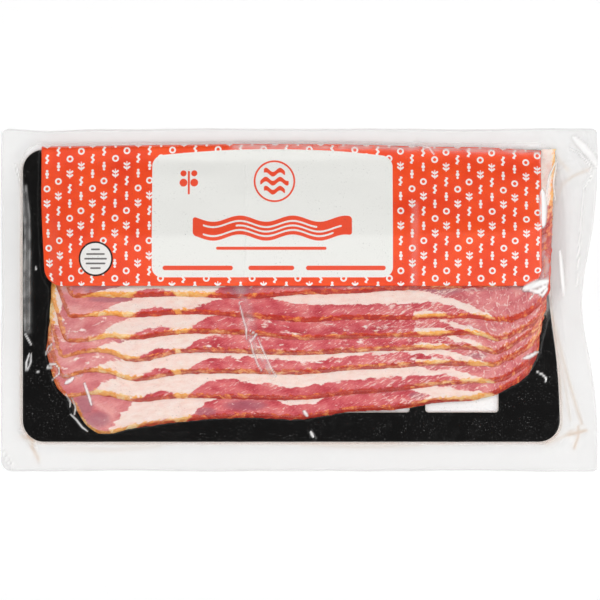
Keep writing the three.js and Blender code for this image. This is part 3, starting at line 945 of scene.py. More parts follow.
def panel_shape(tree, place):
    """Distance in millimetres inside the panel, whose upper edge is an arc."""
    cut = add(tree, "SeparateXYZ", {"Vector": place})
    off = add(
        tree, "Math", {0: cut.outputs["X"], 1: 1 / PANEL["half_width"], 2: -PANEL["x"] / PANEL["half_width"]},
        operation="MULTIPLY_ADD",
    )
    square = add(tree, "Math", {0: off, 1: off}, operation="MULTIPLY")
    low_at_sides = add(tree, "Math", {0: square, 1: PANEL_BOW, 2: -PANEL_BOW}, operation="MULTIPLY_ADD")
    high = add(
        tree, "MapRange",
        {"Value": cut.outputs["Y"], "From Min": PANEL["y"], "From Max": PANEL["y"] + PANEL["half_height"]},
    )
    lowered = add(tree, "Math", {0: low_at_sides, 1: high}, operation="MULTIPLY")
    bowed = add(tree, "CombineXYZ", {"Y": lowered})
    panel_place = add(tree, "VectorMath", {0: place, 1: bowed}, operation="ADD")
    return rounded_bar(
        tree, panel_place, PANEL["x"], PANEL["y"], PANEL["half_width"], PANEL["half_height"],
        PANEL["corner"],
    )


def panel_marks(tree, place):
    """Distance inside the panel's plain bars, ringed emblem, sprig and waving ribbon."""
    bars = [rounded_bar(tree, place, x, y, wide, high, high) for x, y, wide, high in PANEL_BARS]
    ring = hoop(tree, place, EMBLEM["x"], EMBLEM["y"], EMBLEM["radius"], EMBLEM["half_ring"])
    waved = waving(tree, place, 7, 1.0)
    strips = [
        rounded_bar(tree, waved, EMBLEM["x"], EMBLEM["y"] + up, half, 1.15, 0.6)
        for up, half in EMBLEM_STRIPS
    ]
    x, y, size = SPRIG["x"], SPRIG["y"], SPRIG["size"]
    sprig = [rounded_bar(tree, place, x, y, 0.5, size * 2.4, 0.4)]
    for side in (-1, 1):
        for up, radius in ((0, 0.8), (1.9, 0.62)):
            sprig.append(disc(tree, place, x + side * size * 1.1, y + size * up, size * radius))
    # A broad waving ribbon with three pale streaks, like a strip of bacon
    ribbon_place = waving(tree, place, RIBBON["wave"], RIBBON["swing"])
    ribbon = rounded_bar(
        tree, ribbon_place, RIBBON["x"], RIBBON["y"], RIBBON["half_width"], RIBBON["half_height"], 1.6
    )
    streaks = together(
        tree,
        [
            rounded_bar(tree, ribbon_place, RIBBON["x"] + x, RIBBON["y"] + y, half, 0.45, 0.45)
            for x, y, half in ((-6, 2.0, 28), (8, -0.2, 26), (-2, -2.4, 32))
        ],
    )
    free = add(tree, "Math", {0: streaks, 1: -1}, operation="MULTIPLY")
    ribbon = together(tree, [ribbon, free], how="MINIMUM")
    return together(tree, bars + [ring, ribbon] + strips + sprig)


def stamped(tree, place, colour):
    """Lays the ringed white stamp with its plain lines over a colour."""
    stamp = disc(tree, place, STAMP["x"], STAMP["y"], STAMP["radius"])
    colour = blend_colours(tree, edge_mask(tree, stamp, 0.25), colour, "#1A1716")
    inner = add(tree, "Math", {0: stamp, 1: STAMP["ring"]}, operation="SUBTRACT")
    colour = blend_colours(tree, edge_mask(tree, inner, 0.25), colour, "#ECEAE7")
    thin = STAMP_LINE_HALF
    lines = [
        rounded_bar(tree, place, STAMP["x"], STAMP["y"] + up, half, thin, thin) for up, half in STAMP_LINES
    ]
    return blend_colours(tree, edge_mask(tree, together(tree, lines), 0.3), colour, "#6A6664")


def printed_colour(tree, place, ink):
    """Orange-red ink with white motifs, a pale panel with plain bars, and a ringed white stamp."""
    orange = add(
        tree, "ValToRGB", {"Fac": ink.outputs["Fac"]},
        stops=((0.3, "#EA3E14"), (0.5, "#F34A16"), (0.7, "#FA561C")),
    )
    white = "#F4EFEC"
    colour = blend_colours(tree, motif_pattern(tree, place), orange, white)

    panel = panel_shape(tree, place)
    colour = blend_colours(tree, edge_mask(tree, panel, 0.25), colour, "#ECECE8")

    marks = panel_marks(tree, place)
    colour = blend_colours(tree, edge_mask(tree, marks, 0.25), colour, "#EE4E2C")

    return stamped(tree, place, colour)


def smoothed(values, passes):
    """Evens out a grid of heights, its border rows and columns included."""
    for _ in range(passes):
        padded = np.pad(values, 1, mode="edge")
        values = (padded[:-2, 1:-1] + padded[2:, 1:-1] + padded[1:-1, :-2] + padded[1:-1, 2:]) / 4
    return values


def make_flap(finishes):
    """The flap: it starts under the base's top edge, turns over the fold and lies on the slices."""
    t = np.linspace(0, 1, FLAP_ROWS)
    flat_y = lerp(FOLD_Y, FLAP["bottom"], t)
    flat_x = np.linspace(FLAP["left"], FLAP["right"], FLAP_COLUMNS)
    x, y = np.meshgrid(flat_x, flat_y)
    printed_y = y - FLAP["bottom"]
    box = {**FLAP, "top": CARD["top"]}
    rx, ry = round_corners(x, y, box, {(-1, -1): FLAP["corner"], (1, -1): FLAP["corner"]})
    rx = rx + slant(rx, ry)
    bow = fold_bow(x) * ease(ry, 20, FOLD_Y)
    z = smoothed(flap_top(rx, ry + bow), 3)
    z[0] = CARD_BOTTOM + 2 * FOLD_RADIUS + CARD_THICKNESS
    z = z + 0.14 * uneven(x, y, 26, 31) * ease(FOLD_Y - y, 0, 6)
    upper = [np.stack([rx, ry + bow, z], -1)]
    lower = [np.stack([rx, ry + bow, z - CARD_THICKNESS], -1)]
    places = [np.stack([x - FLAP["left"], printed_y, 0 * x], -1)]

    turn = np.linspace(math.pi / 2, -math.pi / 2, FOLD_STEPS)[1:]
    turn, fold_x = np.meshgrid(turn, flat_x, indexing="ij")
    middle = z[0] - CARD_THICKNESS / 2 - FOLD_RADIUS
    for side, rows in ((1, upper), (-1, lower)):
        radius = FOLD_RADIUS + side * CARD_THICKNESS / 2
        fold_y = FOLD_Y + np.cos(turn) * radius + fold_bow(fold_x)
        rows.insert(0, np.stack([fold_x, fold_y, middle + np.sin(turn) * radius], -1)[::-1])
    arc = FOLD_RADIUS * (math.pi / 2 - turn)
    places.insert(
        0, np.stack([fold_x - FLAP["left"], FOLD_Y - FLAP["bottom"] + arc, 0 * fold_x], -1)[::-1]
    )
    upper, lower = np.concatenate(upper)[::-1], np.concatenate(lower)[::-1]
    place = np.concatenate(places)[::-1].reshape(-1, 3)
    piece = slab("card_flap", lower, upper)
    paint(piece, print_place=np.concatenate([place, place]))
    rows, columns, _ = upper.shape
    quads = (rows - 1) * (columns - 1)
    sides = np.full(len(piece.data.polygons), 2)
    sides[:quads] = 0
    sides[quads : 2 * quads] = 1
    dress_card(piece, sides, finishes)
    return piece


def dress_card(piece, sides, finishes):
    """Gives each face the black inside, the printed outside or the cut edge of the board."""
    for finish in finishes:
        piece.data.materials.append(finish)
    piece.data.polygons.foreach_set("material_index", np.asarray(sides, np.int32))
    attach(piece, "root")
    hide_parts("card")


def rounded_outline(box, steps=12, side_steps=30, pinch=None):
    """Points round a rounded rectangle, counter-clockwise."""
    middles = (
        (box["right"] - box["corner"], box["bottom"] + box["corner"]),
        (box["right"] - box["corner"], box["top"] - box["corner"]),
        (box["left"] + box["corner"], box["top"] - box["corner"]),
        (box["left"] + box["corner"], box["bottom"] + box["corner"]),
    )
    points = []
    for side, (cx, cy) in enumerate(middles):
        for step in range(steps + 1):
            angle = math.pi / 2 * (side - 1 + step / steps)
            points.append((cx + box["corner"] * math.cos(angle), cy + box["corner"] * math.sin(angle)))
        nx, ny = middles[(side + 1) % 4]
        fx, fy = points[-1]
        for step in range(1, side_steps):
            share = step / side_steps
            points.append((fx + (nx - cx) * share, fy + (ny - cy) * share))
    points = np.array(points)
    if pinch:
        share = ease(points[:, 0], (box["left"] + box["right"]) / 2, box["right"])
        points[:, 0] -= waist(points[:, 1], pinch) * share
    return points


def make_card_base(finishes):
    """The base: a flat die-cut board with two windows, black where the slices lie."""
    curve = bpy.data.curves.new("card_base", "CURVE")
    curve.dimensions = "2D"
    curve.fill_mode = "BOTH"
    bevel = 0.28
    curve.extrude = (CARD_THICKNESS / 2 - bevel) * MM
    curve.bevel_depth = bevel * MM
    curve.bevel_resolution = 2
    outlines = [rounded_outline(CARD, pinch=CARD_WAIST)]
    for left in WINDOW_LEFT_EDGES:
        window = {
            "left": left, "right": left + WINDOW["width"], "bottom": WINDOW["bottom"],
            "top": WINDOW["bottom"] + WINDOW["height"], "corner": WINDOW["corner"],
        }
        outlines.append(rounded_outline(window, steps=5, side_steps=3))
    for outline in outlines:
        spline = curve.splines.new("POLY")
        spline.points.add(len(outline) - 1)
        spline.use_cyclic_u = True
        for point, (x, y) in zip(spline.points, outline):
            point.co = (x * MM, y * MM, 0, 1)
    drawn = bpy.data.objects.new("card_outline", curve)
    bpy.context.scene.collection.objects.link(drawn)
    bpy.context.view_layer.update()
    mesh = bpy.data.meshes.new_from_object(drawn.evaluated_get(bpy.context.evaluated_depsgraph_get()))
    bpy.data.objects.remove(drawn)
    piece = bpy.data.objects.new("card_base", mesh)
    bpy.context.scene.collection.objects.link(piece)
    weld = piece.modifiers.new("weld", "WELD")
    weld.merge_threshold = 0.002 * MM
    bpy.context.view_layer.update()
    welded = bpy.data.meshes.new_from_object(
        piece.evaluated_get(bpy.context.evaluated_depsgraph_get())
    )
    piece.modifiers.clear()
    piece.data = welded
    points = np.empty(len(welded.vertices) * 3)
    welded.vertices.foreach_get("co", points)
    points = points.reshape(-1, 3)
    points[:, 2] += (CARD_BOTTOM + CARD_THICKNESS / 2) * MM
    welded.vertices.foreach_set("co", points.ravel())
    welded.update()
    place = points / MM - np.array([FLAP["left"], FLAP["bottom"], 0])
    paint(piece, print_place=place * np.array([1, -1, 0]))
    # The bevelled rim is the board's cut edge, which shows as a pale line round the black
    up = np.array([polygon.normal.z for polygon in welded.polygons])
    sides = np.where(up > 0.98, 0, np.where(up < -0.98, 1, 2))
    dress_card(piece, sides, finishes)
    return piece


# The film

FILM_STEP = 0.97
FINE_STEP = 0.46
# Middle and half width of the zones of fine steps
FINE_COLUMNS = (-118, 24, 126, 20, -21, 12, 5, 5, 62, 6)
FINE_ROWS = (-59, 16, 75, 5)
PULL = 2.4  # how sharply the vacuum bends the film into a corner, in 1/mm
PULL_AT_RIGHT = 0.16
PULL_BELOW_FLAP = 1.2
CLEARANCE = 0.25
RELAX_STEPS = 500
# Wrinkles: height and half width in millimetres, then the line through photo pixels
WRINKLES = (
    (1.2, 1.1, ((233, 284), (240, 300), (247, 318), (245, 334))),
    (1.6, 1.4, ((245, 330), (249, 338))),
    (1.3, 1.2, ((246, 336), (254, 350), (263, 364), (276, 374))),
    (1.0, 0.9, ((252, 336), (262, 350))),
    (0.9, 0.9, ((44, 352), (53, 342))),
    (1.1, 0.9, ((45, 375), (50, 364), (60, 366), (60, 372))),
    (1.1, 1.0, ((50, 381), (60, 372), (66, 371))),
    (1.3, 1.2, ((64, 385), (73, 378), (84, 375))),
    (1.2, 1.0, ((83, 380), (87, 393), (92, 406))),
    (1.1, 1.0, ((66, 398), (72, 412), (83, 427))),
    (0.8, 0.9, ((127, 392), (132, 399))),
    (1.3, 1.2, ((302, 408), (308, 418))),
    (1.1, 1.0, ((309, 430), (314, 438))),
    (1.6, 1.6, ((521, 297), (532, 287), (546, 279))),
    (1.1, 1.1, ((522, 358), (538, 351))),
    (1.0, 1.0, ((522, 380), (535, 371), (544, 377), (545, 384))),
    (1.2, 1.1, ((414, 141), (427, 147), (436, 162))),
    (0.25, 1.6, ((242, 150), (246, 172), (247, 230), (248, 285))),
    (0.3, 2.4, ((416, 205), (415, 240), (413, 285))),
    (0.9, 1.0, ((556, 160), (548, 180), (546, 200))),
    (0.8, 0.9, ((556, 162), (552, 192), (556, 203))),
    (0.7, 1.0, ((540, 186), (563, 163), (577, 160))),
    (1.1, 1.1, ((570, 150), (591, 173), (583, 190))),
    (1.0, 1.2, ((570, 147), (598, 171))),
    (0.9, 1.0, ((577, 152), (596, 162))),
    (0.8, 0.8, ((586, 134), (592, 148))),
    (0.9, 1.8, ((561, 238), (562, 262), (563, 290))),
    (0.45, 0.8, ((552, 315), (566, 371), (576, 406), (582, 424))),
    (0.3, 0.8, ((549, 322), (560, 370), (572, 420))),
    (0.8, 1.0, ((2, 449), (13, 470))),
    (0.9, 0.8, ((20, 172), (23, 190), (25, 230), (25, 270))),
    (0.8, 0.7, ((28, 194), (30, 240), (28, 300), (29, 330))),
    (0.8, 0.7, ((24, 240), (23, 290), (25, 335))),
    (0.9, 0.8, ((24, 335), (29, 341), (32, 347))),
    (0.9, 0.8, ((30, 351), (26, 360), (25, 371))),
    (0.8, 0.9, ((20, 430), (34, 448))),
)
# Where meat juice has gathered in a fold of the film: strength, half width, and the line
PURGE = (
    (0.8, 0.8, ((27, 435), (32, 442), (31, 448))),
    (0.8, 0.7, ((31, 446), (36, 456), (38, 460))),
    (0.7, 0.6, ((20, 436), (30, 439), (37, 439))),
    (0.25, 0.9, ((66, 449), (110, 450), (160, 446))),
    (0.3, 0.9, ((300, 444), (360, 447), (420, 445))),
    (0.9, 0.7, ((568, 435), (574, 433), (586, 430))),
    (0.9, 0.6, ((578, 426), (578, 436), (574, 448))),
    (0.6, 0.6, ((546, 444), (562, 437), (572, 430))),
    (0.7, 0.6, ((552, 315), (566, 371), (576, 406), (582, 424))),
    (0.5, 0.5, ((553, 330), (564, 380), (570, 420))),
    (0.6, 0.6, ((540, 150), (556, 155), (568, 170))),
    (0.7, 0.5, ((555, 203), (562, 184), (572, 176), (590, 168))),
    (0.25, 0.7, ((24, 170), (27, 230), (26, 330))),
)

# How milky the webs are off the card and in the loose tent at the right, and how much they mirror
# straight on
HAZE = 0.34
TENT_HAZE = 0.46
GLOSS = 0.06
CRISP = 0.7  # painted glints and creases stronger than this are drawn with a sharp outline
FLANGE_CORNERS = {(-1, -1): 5.5, (1, -1): 2, (1, 1): 2.5, (-1, 1): 3.5}
# Painted highlights: glints and glare of the lamps, drawn as white milky marks on the film, with some white
# haze along its creases and where it stands off: strength, half width, the line
PAINTED_GLINTS_AND_CREASES = (
    (0.3, 2.9, ((240, 286), (243, 300), (248, 316), (249, 326))),
    (0.36, 1.9, ((250, 336), (257, 352), (265, 364), (272, 374))),
    (0.85, 0.45, ((239, 302), (243, 318), (246, 328), (246, 338))),
    (0.8, 0.45, ((246, 338), (251, 340), (256, 334), (250, 330))),
    (0.8, 0.45, ((250, 340), (253, 353), (258, 365), (262, 371))),
    (0.8, 0.45, ((257, 336), (264, 353), (271, 368), (276, 376))),
    (0.5, 1.5, ((232, 146.2), (300, 146.4), (380, 146.8), (430, 148.2), (539, 151))),
    (0.2, 1.8, ((414, 205), (414, 240), (413, 285))),
    (0.12, 0.5, ((244, 165), (247, 210), (243, 285))),
    (0.85, 0.5, ((419, 144.5), (429, 147.5), (434, 155))),
    (1.0, 2.0, ((522, 289), (533, 284.5), (548, 280))),
    (1.0, 1.3, ((528, 289.5), (537, 291), (546, 285))),
    (1.0, 0.8, ((536, 291), (541, 295), (547, 287))),
    (0.9, 0.45, ((528, 299), (532, 294.5))),
    (1.0, 1.9, ((541.5, 190), (542.5, 208), (542, 226))),
    (0.45, 1.6, ((546, 258), (546, 270), (547, 282))),
    (0.95, 1.0, ((523, 358), (530, 355.5), (538, 351))),
    (0.9, 0.5, ((536, 371), (542, 374), (546, 378), (545, 382))),
    (0.95, 1.1, ((559.6, 250), (562, 276), (563.5, 294))),
    (0.85, 0.6, ((591, 175), (583.5, 188), (582, 211), (579, 246), (577, 285))),
    (0.85, 0.5, ((556, 160), (548.4, 176), (545.6, 193), (547, 204))),
    (0.85, 0.5, ((556.5, 160.7), (552.6, 183), (554.7, 200))),
    (0.95, 2.3, ((573, 136), (583, 146), (592, 157), (598, 166))),
    (0.85, 0.6, ((570, 148), (580, 153), (589, 163), (592, 173))),
    (0.9, 0.9, ((303, 410), (307, 416))),
    (0.9, 0.8, ((310, 431), (313, 437))),
    (0.9, 0.7, ((84, 382), (88, 394), (91, 405))),
    (0.95, 1.0, ((65, 382.5), (69, 380.5), (73, 377.5))),
    (0.5, 0.5, ((60, 374), (73, 377), (82, 374.5))),
    (0.9, 0.45, ((45.5, 367), (50, 363), (55, 363.5), (59, 368), (59, 373), (51, 380))),
    (0.9, 0.8, ((46.5, 367.5), (52, 366.5))),
    (0.85, 0.45, ((44.6, 354), (48, 346.5), (51.5, 343.5))),
    (0.7, 0.45, ((45.5, 354), (50.5, 349), (51.8, 344))),
    (0.85, 0.5, ((69.5, 413.5), (75.3, 419), (81.6, 427), (87, 431))),
    (0.8, 0.45, ((65, 393), (69.5, 401), (69.5, 407))),
    (0.8, 0.45, ((71.4, 397.3), (75, 407), (73.5, 415))),
    (0.8, 0.5, ((129, 395), (131, 398))),
    (0.9, 0.5, ((35, 266.5), (35.5, 269))),
    (0.9, 0.45, ((25.5, 371.5), (25.6, 362), (29, 352))),
    (0.8, 0.45, ((26, 371), (30, 362), (30.3, 352.5))),
    (0.85, 0.5, ((35.5, 371), (38.5, 371))),
    (0.85, 0.5, ((24, 333), (27, 338), (31, 345))),
    (0.3, 1.6, ((22.5, 192), (26, 230), (26.5, 280), (26.5, 330))),
    (0.62, 0.5, ((20.5, 168), (22.5, 200), (24.5, 235), (23.5, 280), (24, 330))),
    (0.5, 0.5, ((25, 185), (28.5, 215), (29, 250), (28.5, 300), (28.5, 328))),
    (0.8, 0.5, ((14, 163), (19, 180))),
    (0.8, 0.45, ((249, 285), (252, 286))),
    (0.85, 0.7, ((1, 449), (7, 460), (13, 470))),
)


def line_distance(x, y, pixels):
    """Distance in millimetres to a line drawn through photo pixels, and how far along it that is."""
    corners = spots(pixels)
    best = np.full(x.shape, 1e9)
    share = np.zeros(x.shape)
    for n, (start, end) in enumerate(zip(corners, corners[1:])):
        run = end - start
        t = np.clip(((x - start[0]) * run[0] + (y - start[1]) * run[1]) / (run @ run), 0, 1)
        away = np.hypot(x - start[0] - t * run[0], y - start[1] - t * run[1])
        share = np.where(away < best, (n + t) / (len(corners) - 1), share)
        best = np.minimum(best, away)
    return best, share


def contents_height(x, y):
    """Upper surface of what the film is drawn over."""
    height = np.full(x.shape, FILM_THICKNESS)
    on_card = inside(x, y, CARD, pinch=CARD_WAIST) > 0
    height = np.where(on_card, CARD_TOP, height)
    height = np.maximum(height, stack_top(x, y))
    bow = fold_bow(x)
    over_flap = inside(x - slant(x, y), y - bow, {**FLAP, "top": 200}) > 0
    over_flap &= y < FOLD_Y + bow
    height = np.where(over_flap, np.maximum(height, flap_top(x, y)), height)
    radius = FOLD_RADIUS + CARD_THICKNESS / 2
    past = np.clip(y - FOLD_Y - bow, 0, radius)
    fold = CARD_BOTTOM + CARD_THICKNESS / 2 + FOLD_RADIUS + np.sqrt(radius**2 - past**2)
    over_fold = (past > 0) & (past < radius) & (x > FLAP["left"]) & (x < FLAP["right"])
    return np.where(over_fold, np.maximum(height, fold), height)


def flange_edges(x, y):
    """How far the wavy sealed edge stands back from the pack's straight outline."""
    at_side = 0.35 + 0.3 * uneven(0 * x, y, 30, 41) + 0.1 * uneven(0 * x, y, 9, 42)
    at_end = 0.4 + 0.3 * uneven(x, 0 * y, 42, 43) + 0.1 * uneven(x, 0 * y, 11, 44)
    return at_side, at_end + 1.2 * bump_at(x, -122, 14) * (y > 0)


def graded(start, end, zones):
    """Places from start to end, closer together inside the zones of fine steps."""
    fine = np.linspace(start, end, 4000)
    share = sum(np.exp(-(((fine - m) / half) ** 4)) for m, half in zip(zones[::2], zones[1::2]))
    flat = 1 - ease(np.minimum(fine - start, end - fine), 5, 9)
    density = 1 / lerp(lerp(FILM_STEP, 1.5, flat), FINE_STEP, np.clip(share, 0, 1))
    total = np.concatenate([[0], np.cumsum((density[1:] + density[:-1]) / 2 * (fine[1] - fine[0]))])
    return np.interp(np.linspace(0, total[-1], int(total[-1]) + 1), total, fine)


def tightened(floor, pull, columns, rows):
    """The film's height: as low as the vacuum pulls it over what is below, at most so sharply bent."""
    across = 1 / np.gradient(columns)[None] ** 2
    along = 1 / np.gradient(rows)[:, None] ** 2
    height = np.maximum(floor, smoothed(floor, 4))
    for _ in range(RELAX_STEPS):
        p = np.pad(height, 1, mode="edge")
        level = across * (p[1:-1, :-2] + p[1:-1, 2:]) + along * (p[:-2, 1:-1] + p[2:, 1:-1])
        height = np.maximum(floor, (level - pull) / (2 * across + 2 * along))
    return height


def film_height(x, y, columns, rows):
    """The upper web: drawn down over the contents by the vacuum, with its folds and wrinkles."""
    floor = contents_height(x, y) + CLEARANCE
    at_right = ease(x, 112, 122) * (1 - ease(y, 60, 80)) * ease(y, -40, -24)
    pull = lerp(PULL, lerp(PULL_BELOW_FLAP, PULL_AT_RIGHT, ease(y, -10, 6)), at_right)
    height = smoothed(tightened(floor, pull, columns, rows), 1)
    tension = 0.08 * uneven(x, y, 7, 51) + 0.05 * uneven(x, y, 3.2, 52)
    on_contents = ease(height, 0.9, 2.5)
    height = height + tension * (0.06 + 0.94 * on_contents)
    # The loose film at the right end hangs in long folds along the end
    streaks = 0.3 * uneven(x, y / 9, 4, 53) + 0.16 * uneven(x, y / 5, 2.2, 54)
    height = height + streaks * at_right * on_contents * ease(x, 120, 124)
    for rise, half, pixels in WRINKLES:
        away, share = line_distance(x, y, pixels)
        taper = np.sqrt(np.clip(4 * share * (1 - share), 0, 1)) if len(pixels) > 2 else 1
        ridge = np.exp(-((away / half) ** 2)) * taper
        height = height + rise * ridge
    return height


def film_fields(x, y):
    """What the film's material reads: juice, milkiness with painted highlights, knurling and how much it
    mirrors.
    """
    contents = {**CARD, "top": CARD["top"] + FOLD_RADIUS}
    on_card = inside(x, y, contents, pinch=CARD_WAIST)
    purge = np.exp(-(((on_card + 1.0) / 0.6) ** 2)) * (0.3 + 0.2 * uneven(x, y, 14, 61))
    purge = purge * (1 - 0.9 * ease(y, 60, 72))
    for strength, half, pixels in PURGE:
        away, _ = line_distance(x, y, pixels)
        purge = np.maximum(purge, strength * np.exp(-((away / half) ** 2)))
    sealed = 1 - ease(on_card, -7, -3)
    ridged = sealed * ease(-on_card, 6, 8)
    smudges = ease(uneven(x, y, 5.5, 62) + 0.6 * uneven(x, y, 2.1, 63), 0.35, 1.3)
    # Off the contents the webs are milky too, most in the loose tent at the right end
    off_card = ease(-on_card, 0.2, 1.5)
    tent = ease(x, 118, 124) * (1 - sealed) * off_card
    milky_with_glints = lerp(HAZE, TENT_HAZE, tent) * off_card + 0.006 * smudges
    # Where the webs are sealed together there is no air between them, so they reflect half as much
    shine = GLOSS * (1 - 0.55 * np.maximum(sealed, tent))
    # Painted highlights: glints and glare drawn into the milkiness as white marks, with some real haze along
    # creases
    for strength, half, pixels in PAINTED_GLINTS_AND_CREASES:
        away, share = line_distance(x, y, pixels)
        if strength > CRISP:
            taper = 0.35 + 0.65 * np.sqrt(np.clip(4 * share * (1 - share), 0, 1))
            spread = np.exp(-((away / half / taper) ** 4))
        else:
            spread = np.exp(-((away / half) ** 2)) * (0.8 + 0.4 * uneven(x, y, 2.6, 64))
        milky_with_glints = np.maximum(milky_with_glints, strength * spread)
    return {
        "purge": purge, "milky_with_glints": milky_with_glints, "ridged": ridged, "shine": shine,
        "film_place": np.stack([x, y, 0 * x], -1),
    }


def make_film(finish):
    """The pouch: a flat lower web, and an upper web drawn down over the contents to the flange."""
    columns = graded(PACK_LEFT, PACK_RIGHT, FINE_COLUMNS)
    rows = graded(PACK_BOTTOM, PACK_TOP, FINE_ROWS)
    x, y = np.meshgrid(columns, rows)
    box = {"left": PACK_LEFT, "right": PACK_RIGHT, "bottom": PACK_BOTTOM, "top": PACK_TOP}
    x, y = round_corners(x, y, box, FLANGE_CORNERS)
    x = x - waist(y, FLANGE_WAIST) * ease(x, 0, PACK_RIGHT)
    inset_x, inset_y = flange_edges(x, y)
    x = x - np.sign(x) * inset_x * ease(np.abs(x), 120, PACK_RIGHT)
    y = y - np.sign(y) * inset_y * ease(np.abs(y), 70, PACK_TOP)

    height = film_height(x, y, columns, rows)

    lower = np.stack([x, y, 0 * x], -1)
    upper = np.stack([x, y, height], -1)
    count = x.size
    rim = rim_of(len(rows), len(columns))
    points = np.concatenate([upper.reshape(-1, 3), lower.reshape(-1, 3)[rim]])
    faces = grid_faces(len(rows), len(columns))
    for n, (a, b) in enumerate(zip(rim, rim[1:] + rim[:1])):
        after = (n + 1) % len(rim)
        faces.append([a, count + n, count + after, b])
    faces.append([count + n for n in range(len(rim))][::-1])
    piece = mesh_object("film_pouch_webs", points, faces)

    fields = film_fields(x, y)
    for name, value in fields.items():
        flat = value.reshape(count, -1)
        below = flat[rim] if name in ("film_place", "shine") else 0 * flat[rim]
        fields[name] = np.concatenate([flat, below]).squeeze()
    paint(piece, **fields)
    piece.data.materials.append(finish)
    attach(piece, "root")
    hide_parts("film_pouch")
    return piece


def vacuum_film():
    """Coextruded nylon and polyethylene film, blown and heat sealed: almost clear over the food,
    with sharp glints on every wrinkle, and slightly milky where two webs are sealed and knurled."""
    made, tree = new_material("clear vacuum film")
    fields = {
        name: add(tree, "Attribute", attribute_name=name)
        for name in ("purge", "milky_with_glints", "ridged", "shine", "film_place")
    }
    read = {name: made_by.outputs["Fac"] for name, made_by in fields.items()}
    place = fields["film_place"].outputs["Vector"]

    # Knurled seal: fine diamonds, drawn 1.1 mm apart so that they show
    knurls = []
    for slope in (1, -1):
        lean = add(tree, "VectorMath", {0: place, 1: (0.7, 0.7 * slope, 0)}, operation="DOT_PRODUCT")
        turn = add(
            tree, "Math", {0: lean.outputs["Value"], 1: 2 * math.pi / 1.1}, operation="MULTIPLY"
        )
        knurls.append(add(tree, "Math", {0: turn}, operation="SINE"))
    knurl = add(tree, "Math", {0: knurls[0], 1: knurls[1]}, operation="MULTIPLY")
    knurl = add(tree, "Math", {0: knurl, 1: read["ridged"]}, operation="MULTIPLY")
    relief = add(tree, "Bump", {"Height": knurl, "Strength": 0.5, "Distance": 0.05 * MM})

    tint = blend_colours(tree, read["purge"], "#FFFFFF", "#F0DAC4")
    clear = add(tree, "BsdfTransparent", {"Color": tint})
    bounced = add(tree, "BsdfDiffuse", {"Color": linear("#F8F7F6")})
    scattered = add(tree, "BsdfTranslucent", {"Color": linear("#F8F7F6")})
    # Where the milkiness is strong, as at the painted glints and glare, all light is bounced back so that
    # they read white
    passed_on = add(
        tree, "MapRange",
        {"Value": read["milky_with_glints"], "From Min": 0.5, "From Max": 0.8, "To Min": 0.35, "To Max": 0},
    )
    haze_with_glints = add(tree, "MixShader", {"Fac": passed_on, 1: bounced, 2: scattered})
    # Dust and scuffs half a millimetre across, only where there are many of them
    dust = stretched_noise(tree, place, (1.1, 1.1, 1), detail=2, roughness=0.8)
    patches = add(tree, "TexNoise", {"Vector": place, "Scale": 0.12, "Detail": 1})
    many = add(
        tree, "MapRange", {"Value": patches.outputs["Fac"], "From Min": 0.38, "From Max": 0.6, "To Max": 0.3}
    )
    specks = add(
        tree, "MapRange", {"Value": dust.outputs["Fac"], "From Min": 0.61, "From Max": 0.72, "To Max": 1}
    )
    dusty = add(tree, "Math", {0: specks, 1: many}, operation="MULTIPLY")
    clouded_with_glints = add(tree, "Math", {0: read["milky_with_glints"], 1: dusty}, operation="MAXIMUM")
    body = add(tree, "MixShader", {"Fac": clouded_with_glints, 1: clear, 2: haze_with_glints})
    gloss = add(
        tree, "BsdfGlossy", {"Color": linear("#FFFFFF"), "Roughness": 0.07, "Normal": relief}
    )
    # Both faces of the web reflect: about 6% straight on, and all of the light at a grazing angle
    facing = add(tree, "LayerWeight", {"Blend": 0.5, "Normal": relief}).outputs["Facing"]
    grazing = add(tree, "Math", {0: facing, 1: 5}, operation="POWER")
    share = add(tree, "Math", {0: grazing, 1: 0.94, 2: read["shine"]}, operation="MULTIPLY_ADD")
    shader = add(tree, "MixShader", {"Fac": share, 1: body, 2: gloss})
    add(tree, "OutputMaterial", {"Surface": shader})
    return made


# The studio


def matt_paper():
    """Seamless photo paper, matt: an even near-white with no sheen."""
    made, tree = new_material("white studio paper")
    place = add(tree, "TexCoord").outputs["Object"]
    fibre = add(tree, "TexNoise", {"Vector": place, "Scale": 90, "Detail": 3})
    colour = add(
        tree, "ValToRGB", {"Fac": fibre.outputs["Fac"]}, stops=((0.2, "#F6F6F6"), (0.8, "#F8F8F8"))
    )
    shader = add(tree, "BsdfPrincipled", {"Base Color": colour, "Roughness": 0.9})
    add(tree, "OutputMaterial", {"Surface": shader})
    return made


def make_floor():
    size = 3000
    corners = [(-size, -size), (size, -size), (size, size), (-size, size)]
    floor = mesh_object("floor", [(x, y, -0.25) for x, y in corners], [[0, 1, 2, 3]], smooth=False)
    floor.data.materials.append(matt_paper())


# Soft boxes: direction from the pack, angle from the zenith, distance, size and brightness, and
# whether they light matt surfaces and are mirrored in the film
SOFT_BOXES = (
    ("left", 180, 62, 1.0, 0.25, 0.7, 2.4, True, False),
    ("right, on matt surfaces", 0, 62, 1.0, 0.25, 0.9, 2.4, True, False),
    ("right, mirrored", 0, 62, 1.0, 0.25, 0.9, 4.5, False, True),
    ("strip in the right one", 0, 62, 1.0, 0.14, 0.9, 14.0, False, True),
    ("overhead", 0, 0, 1.5, 2.2, 2.2, 2.05, True, False),
)
FRAMED_HEIGHT = 5  # height above the floor, in millimetres, that fills the frame


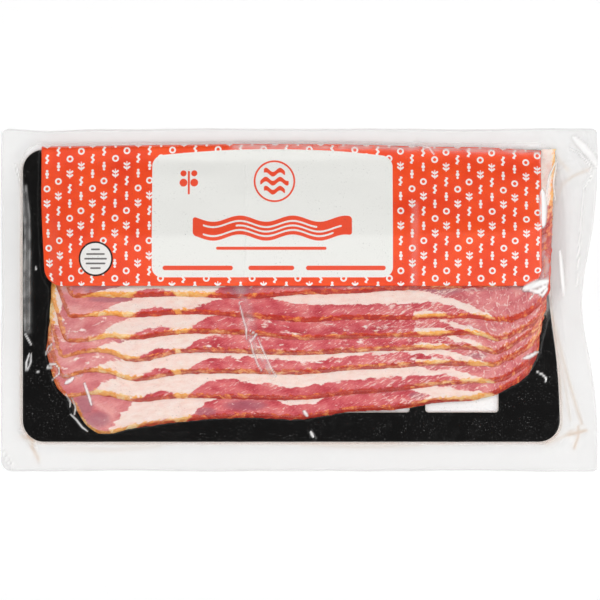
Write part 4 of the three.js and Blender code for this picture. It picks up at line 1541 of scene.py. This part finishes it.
def make_lights():
    for name, bearing, tilt, distance, width, length, radiance, matt, mirrored in SOFT_BOXES:
        light = bpy.data.lights.new("soft box " + name, "AREA")
        light.shape = "RECTANGLE"
        light.size, light.size_y = length, width
        light.energy = radiance * math.pi * width * length
        lamp = bpy.data.objects.new("soft box " + name, light)
        a, t = math.radians(bearing), math.radians(tilt)
        lamp.location = (
            distance * math.sin(t) * math.cos(a),
            distance * math.sin(t) * math.sin(a),
            distance * math.cos(t),
        )
        lamp.rotation_euler = (-lamp.location).to_track_quat("-Z", "Y").to_euler()
        lamp.visible_diffuse = matt
        lamp.visible_glossy = mirrored
        bpy.context.scene.collection.objects.link(lamp)

    world = bpy.data.worlds.new("studio")
    bpy.context.scene.world = world
    world.use_nodes = True
    tree = world.node_tree
    tree.nodes.clear()
    # Pale walls in front and at the right; it is darker at the left, behind and above
    facing = add(tree, "SeparateXYZ", {"Vector": add(tree, "TexCoord").outputs["Generated"]})
    leftward = add(tree, "Math", {0: facing.outputs["X"], 1: -0.7}, operation="MULTIPLY")
    sideways = add(tree, "Math", {0: facing.outputs["X"], 1: leftward}, operation="MAXIMUM")
    frontal = add(tree, "Math", {0: facing.outputs["Y"], 1: -0.75}, operation="MULTIPLY")
    toward = add(tree, "Math", {0: sideways, 1: frontal}, operation="MAXIMUM")
    sky = add(
        tree, "ValToRGB", {"Fac": toward},
        stops=((0.4, "#3A3A3A"), (0.65, "#8C8C8C"), (0.9, "#D2D2D2")),
    )
    back = add(tree, "Background", {"Color": sky, "Strength": 1.0})
    add(tree, "OutputWorld", {"Surface": back})


def make_camera():
    """Straight above, from far away, with the frame as wide as the photograph."""
    data = bpy.data.cameras.new("camera")
    data.lens = 400
    data.sensor_width = 36
    camera = bpy.data.objects.new("camera", data)
    eye_height = FRAME_WIDTH * MM / 2 / (data.sensor_width / 2 / data.lens) + FRAMED_HEIGHT * MM
    middle = spots(FRAME_CENTRE_PX)
    camera.location = (middle[0] * MM, middle[1] * MM, eye_height)
    bpy.context.scene.collection.objects.link(camera)
    bpy.context.scene.camera = camera
    bpy.context.scene.view_settings.view_transform = "Standard"


pork = smoked_pork_belly()
for number in range(len(SLICES)):
    make_slice(number, pork)
board = [
    coated_board("black coated board", "black"),
    coated_board("printed board", "printed"),
    coated_board("cut edge of board", "cut"),
]
make_card_base(board)
make_flap(board)
make_film(vacuum_film())
make_floor()
make_lights()
make_camera()
